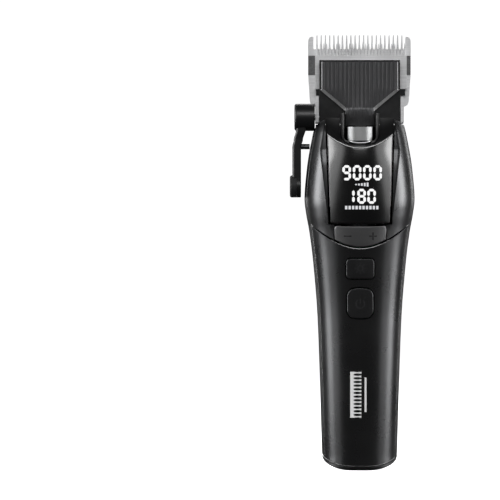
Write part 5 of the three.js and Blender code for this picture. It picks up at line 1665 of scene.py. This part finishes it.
def plating_painted_side_shade():
    """Plating whose colour darkens from the bright middle of the insert towards its sides: painted shade from
    the collar walls.
    """
    material, tree, shader = finish("plating_painted_side_shade", (0.85, 0.86, 0.87), 1.0)
    axes = tree.nodes.new("ShaderNodeSeparateXYZ")
    tree.links.new(object_place(tree), axes.inputs["Vector"])
    outward = combine(tree, "ABSOLUTE", axes.outputs["X"], 0.0)
    lines = effect(tree, GRINDING, stretch=(300.0, 300.0, 2400.0))
    # painted shade: the colour falls from bright plating in the middle to near black at the sides
    side_shade_paint = spread(tree, outward, 0.0016, 0.0054, 0.0, 1.0)
    tint(tree, shader, side_shade_paint, (0.85, 0.86, 0.87), (0.012, 0.012, 0.0125))
    gloss(tree, shader, 0.36, 0.04)
    relief(tree, shader, lines.outputs["Height"], 0.04, 0.00003)
    return material


EXTRA = {
    # a pale colour that stands in for the highlight along the covers' and the lens's rims
    "rim_highlight_paint": moulded("rim_highlight_paint", (0.62, 0.62, 0.625), (0.5, 0.5, 0.502), 0.45, 3000, 0.08, 0.1),
    # a pale colour that stands in for the highlight on the guard's bevel
    "bevel_highlight_paint": machined("bevel_highlight_paint", (0.55, 0.55, 0.555), (0.42, 0.42, 0.422),
                          0.46, (900.0, 900.0, 900.0), 0.08),
    # a dark steel colour that stands in for shade on the fixed blade
    "painted_shade_steel": machined("steel_with_painted_shade", (0.2, 0.2, 0.203), (0.13, 0.13, 0.132),
                           0.5, (900.0, 2600.0, 2600.0), 0.2),
    # the black moulding again, here as painted shadow on the guard's ledge
    "black_plastic": MATERIALS["black_plastic"],
}
print("materials:", len(MATERIALS) + len(EXTRA))


# %% Lit numerals and printed marks
def lit(name, colour, strength):
    material, tree, shader = finish(name, (0.02, 0.02, 0.02), emission_strength=strength)
    glow = effect(tree, GRAIN, scale=1400)
    blend = tree.nodes.new("ShaderNodeMix")
    blend.data_type = "RGBA"
    blend.inputs["A"].default_value = (*[0.86 * value for value in colour], 1)
    blend.inputs["B"].default_value = (*colour, 1)
    tree.links.new(glow.outputs["Mask"], blend.inputs["Factor"])
    tree.links.new(blend.outputs["Result"], shader.inputs["Emission Color"])
    gloss(tree, shader, 0.2, 0.03)
    return material


SPECIAL = {
    "display_digits": lit("lit_numerals", (1.0, 1.0, 1.0), 1.05),
    "display_gauges": lit("lit_gauges", (0.95, 0.96, 1.0), 0.8),
    "comb_print": moulded("white_print", (0.95, 0.95, 0.95), (0.85, 0.85, 0.85), 0.5, 3000, 0.12, 0.1),
    "power_mark": moulded("dark_print", (0.016, 0.016, 0.018), (0.03, 0.03, 0.03), 0.5, 3000, 0.1, 0.1),
    "rocker_marks": moulded("black_print", (0.006, 0.006, 0.0065), (0.02, 0.02, 0.02), 0.5, 3000, 0.1, 0.1),
}
SPECIAL["lamp_mark"] = SPECIAL["power_mark"]
# the insert takes the plating with painted shade towards its sides
SPECIAL["insert"] = plating_painted_side_shade()
SPECIAL["insert_rim"] = machined("satin_plating", (0.92, 0.92, 0.93), (0.85, 0.85, 0.86),
                                 0.48, (300.0, 300.0, 1800.0), 0.03)
SPECIAL["rocker_key"] = moulded("rocker_lacquer", (0.15, 0.15, 0.152), (0.22, 0.22, 0.222),
                                0.42, 6500, 0.06, 0.2,
                                metallic=0.85, specular_ior_level=0.3)

# %% [markdown]
# Every new piece takes its slot's material. The frame's own solids that stay in view get theirs as
# well, and a small bevel by modifier, so that their edges are no sharper than a real part's.

# %% Give every piece its material
for piece, slot in new_pieces:
    piece.data.materials.clear()
    piece.data.materials.append(SPECIAL.get(piece.name, MATERIALS[slot]))
    for index, (extra, test) in enumerate(second_finishes.get(piece.name, []), start=1):
        piece.data.materials.append(EXTRA[extra])
        for face in piece.data.polygons:
            if test(face):
                face.material_index = index

CAD_EDGE = 0.12
for part in frame["record"]["subparts"]:
    node = frame["nodes"][part["node"]]
    node.data.materials.clear()
    node.data.materials.append(MATERIALS[part["material_slot"]])
    edge = node.modifiers.new("edge", "BEVEL")
    edge.width = CAD_EDGE * MM
    edge.segments = 2
    edge.limit_method = "ANGLE"
    edge.angle_limit = math.radians(40)
print("pieces with a finish:", len(new_pieces) + len(frame["nodes"]))

# %% [markdown]
# ## Studio
#
# The floor sweeps up into a white wall all round. Two tall soft boxes stand level with the
# clipper, one each side: on a dark round barrel each makes a long upright highlight. A weaker box
# beside each, further forward, softens that highlight, and another stands behind. A wide box above
# the front lights the ground steel, and one above the back lights the rear. Nothing bright stands
# straight in front, so the face stays dark.

# %% Floor and backdrop
FLOOR_RADIUS, WALL_RADIUS, WALL_HEIGHT = 3.2, 1.4, 4.0


def backdrop():
    section = [(FLOOR_RADIUS * k / 12, 0.0) for k in range(1, 13)]
    section += [(FLOOR_RADIUS + WALL_RADIUS * math.sin(a), WALL_RADIUS * (1 - math.cos(a)))
                for a in [math.pi / 2 * k / 12 for k in range(1, 13)]]
    section.append((FLOOR_RADIUS + WALL_RADIUS, WALL_HEIGHT))
    sides = 96
    points = [(0, 0, 0)]
    turns = [2 * math.pi * i / sides for i in range(sides)]
    for radius, height in section:
        points += [(radius / MM * math.cos(a), radius / MM * math.sin(a), height / MM) for a in turns]
    faces = [(0, 1 + i, 1 + (i + 1) % sides) for i in range(sides)]
    for j in range(len(section) - 1):
        for i in range(sides):
            k = (i + 1) % sides
            a, b = 1 + j * sides, 1 + (j + 1) * sides
            faces.append((a + i, b + i, b + k, a + k))
    return mesh_piece("studio_floor", points, faces)


floor = backdrop()
paint, paint_tree, paint_shader = finish("studio_paint", (0.9, 0.9, 0.9),
                                         specular_ior_level=0.1, emission_strength=1.0)
paint_grain = effect(paint_tree, GRAIN, scale=40)
tint(paint_tree, paint_shader, paint_grain.outputs["Mask"], (0.88, 0.88, 0.88), (0.91, 0.91, 0.91))
paint_shader.inputs["Emission Color"].default_value = (1, 1, 1, 1)
paint_shader.inputs["Roughness"].default_value = 0.8
floor.data.materials.append(paint)
floor.visible_glossy = False
floor.visible_diffuse = False


# %% Soft boxes
def soft_box(name, place, width, height, power, target=(0, 0, 0.1)):
    data = bpy.data.lights.new(name, "AREA")
    data.shape = "RECTANGLE"
    data.size, data.size_y, data.energy = width, height, power
    light = bpy.data.objects.new(name, data)
    light.location = place
    light.rotation_euler = (Vector(target) - Vector(place)).to_track_quat("-Z", "Y").to_euler()
    light.visible_camera = False
    bpy.context.scene.collection.objects.link(light)
    return light


SIDE_DISTANCE = 0.9
for name, side in (("left", -1), ("right", 1)):
    soft_box(name + "_box", (side * SIDE_DISTANCE, -0.03, 0.38), 0.34, 0.76, 9.5, (0, 0, 0.38))
    soft_box(name + "_fill", (side * 0.85, -0.42, 0.4), 0.34, 0.8, 2.4, (0, 0, 0.4))
    soft_box(name + "_rear", (side * 0.9, 1.2, 0.4), 0.3, 0.8, 2.0)
soft_box("front_top_box", (0, -1.3, 0.95), 1.1, 0.4, 9.5)
soft_box("rear_top_box", (0, 1.3, 0.95), 1.1, 0.4, 7)

world = bpy.data.worlds.new("studio_air")
world.use_nodes = True
world.node_tree.nodes["Background"].inputs["Color"].default_value = (1.0, 1.0, 1.0, 1)
world.node_tree.nodes["Background"].inputs["Strength"].default_value = 0.045
bpy.context.scene.world = world
bpy.context.scene.view_settings.view_transform = "Standard"
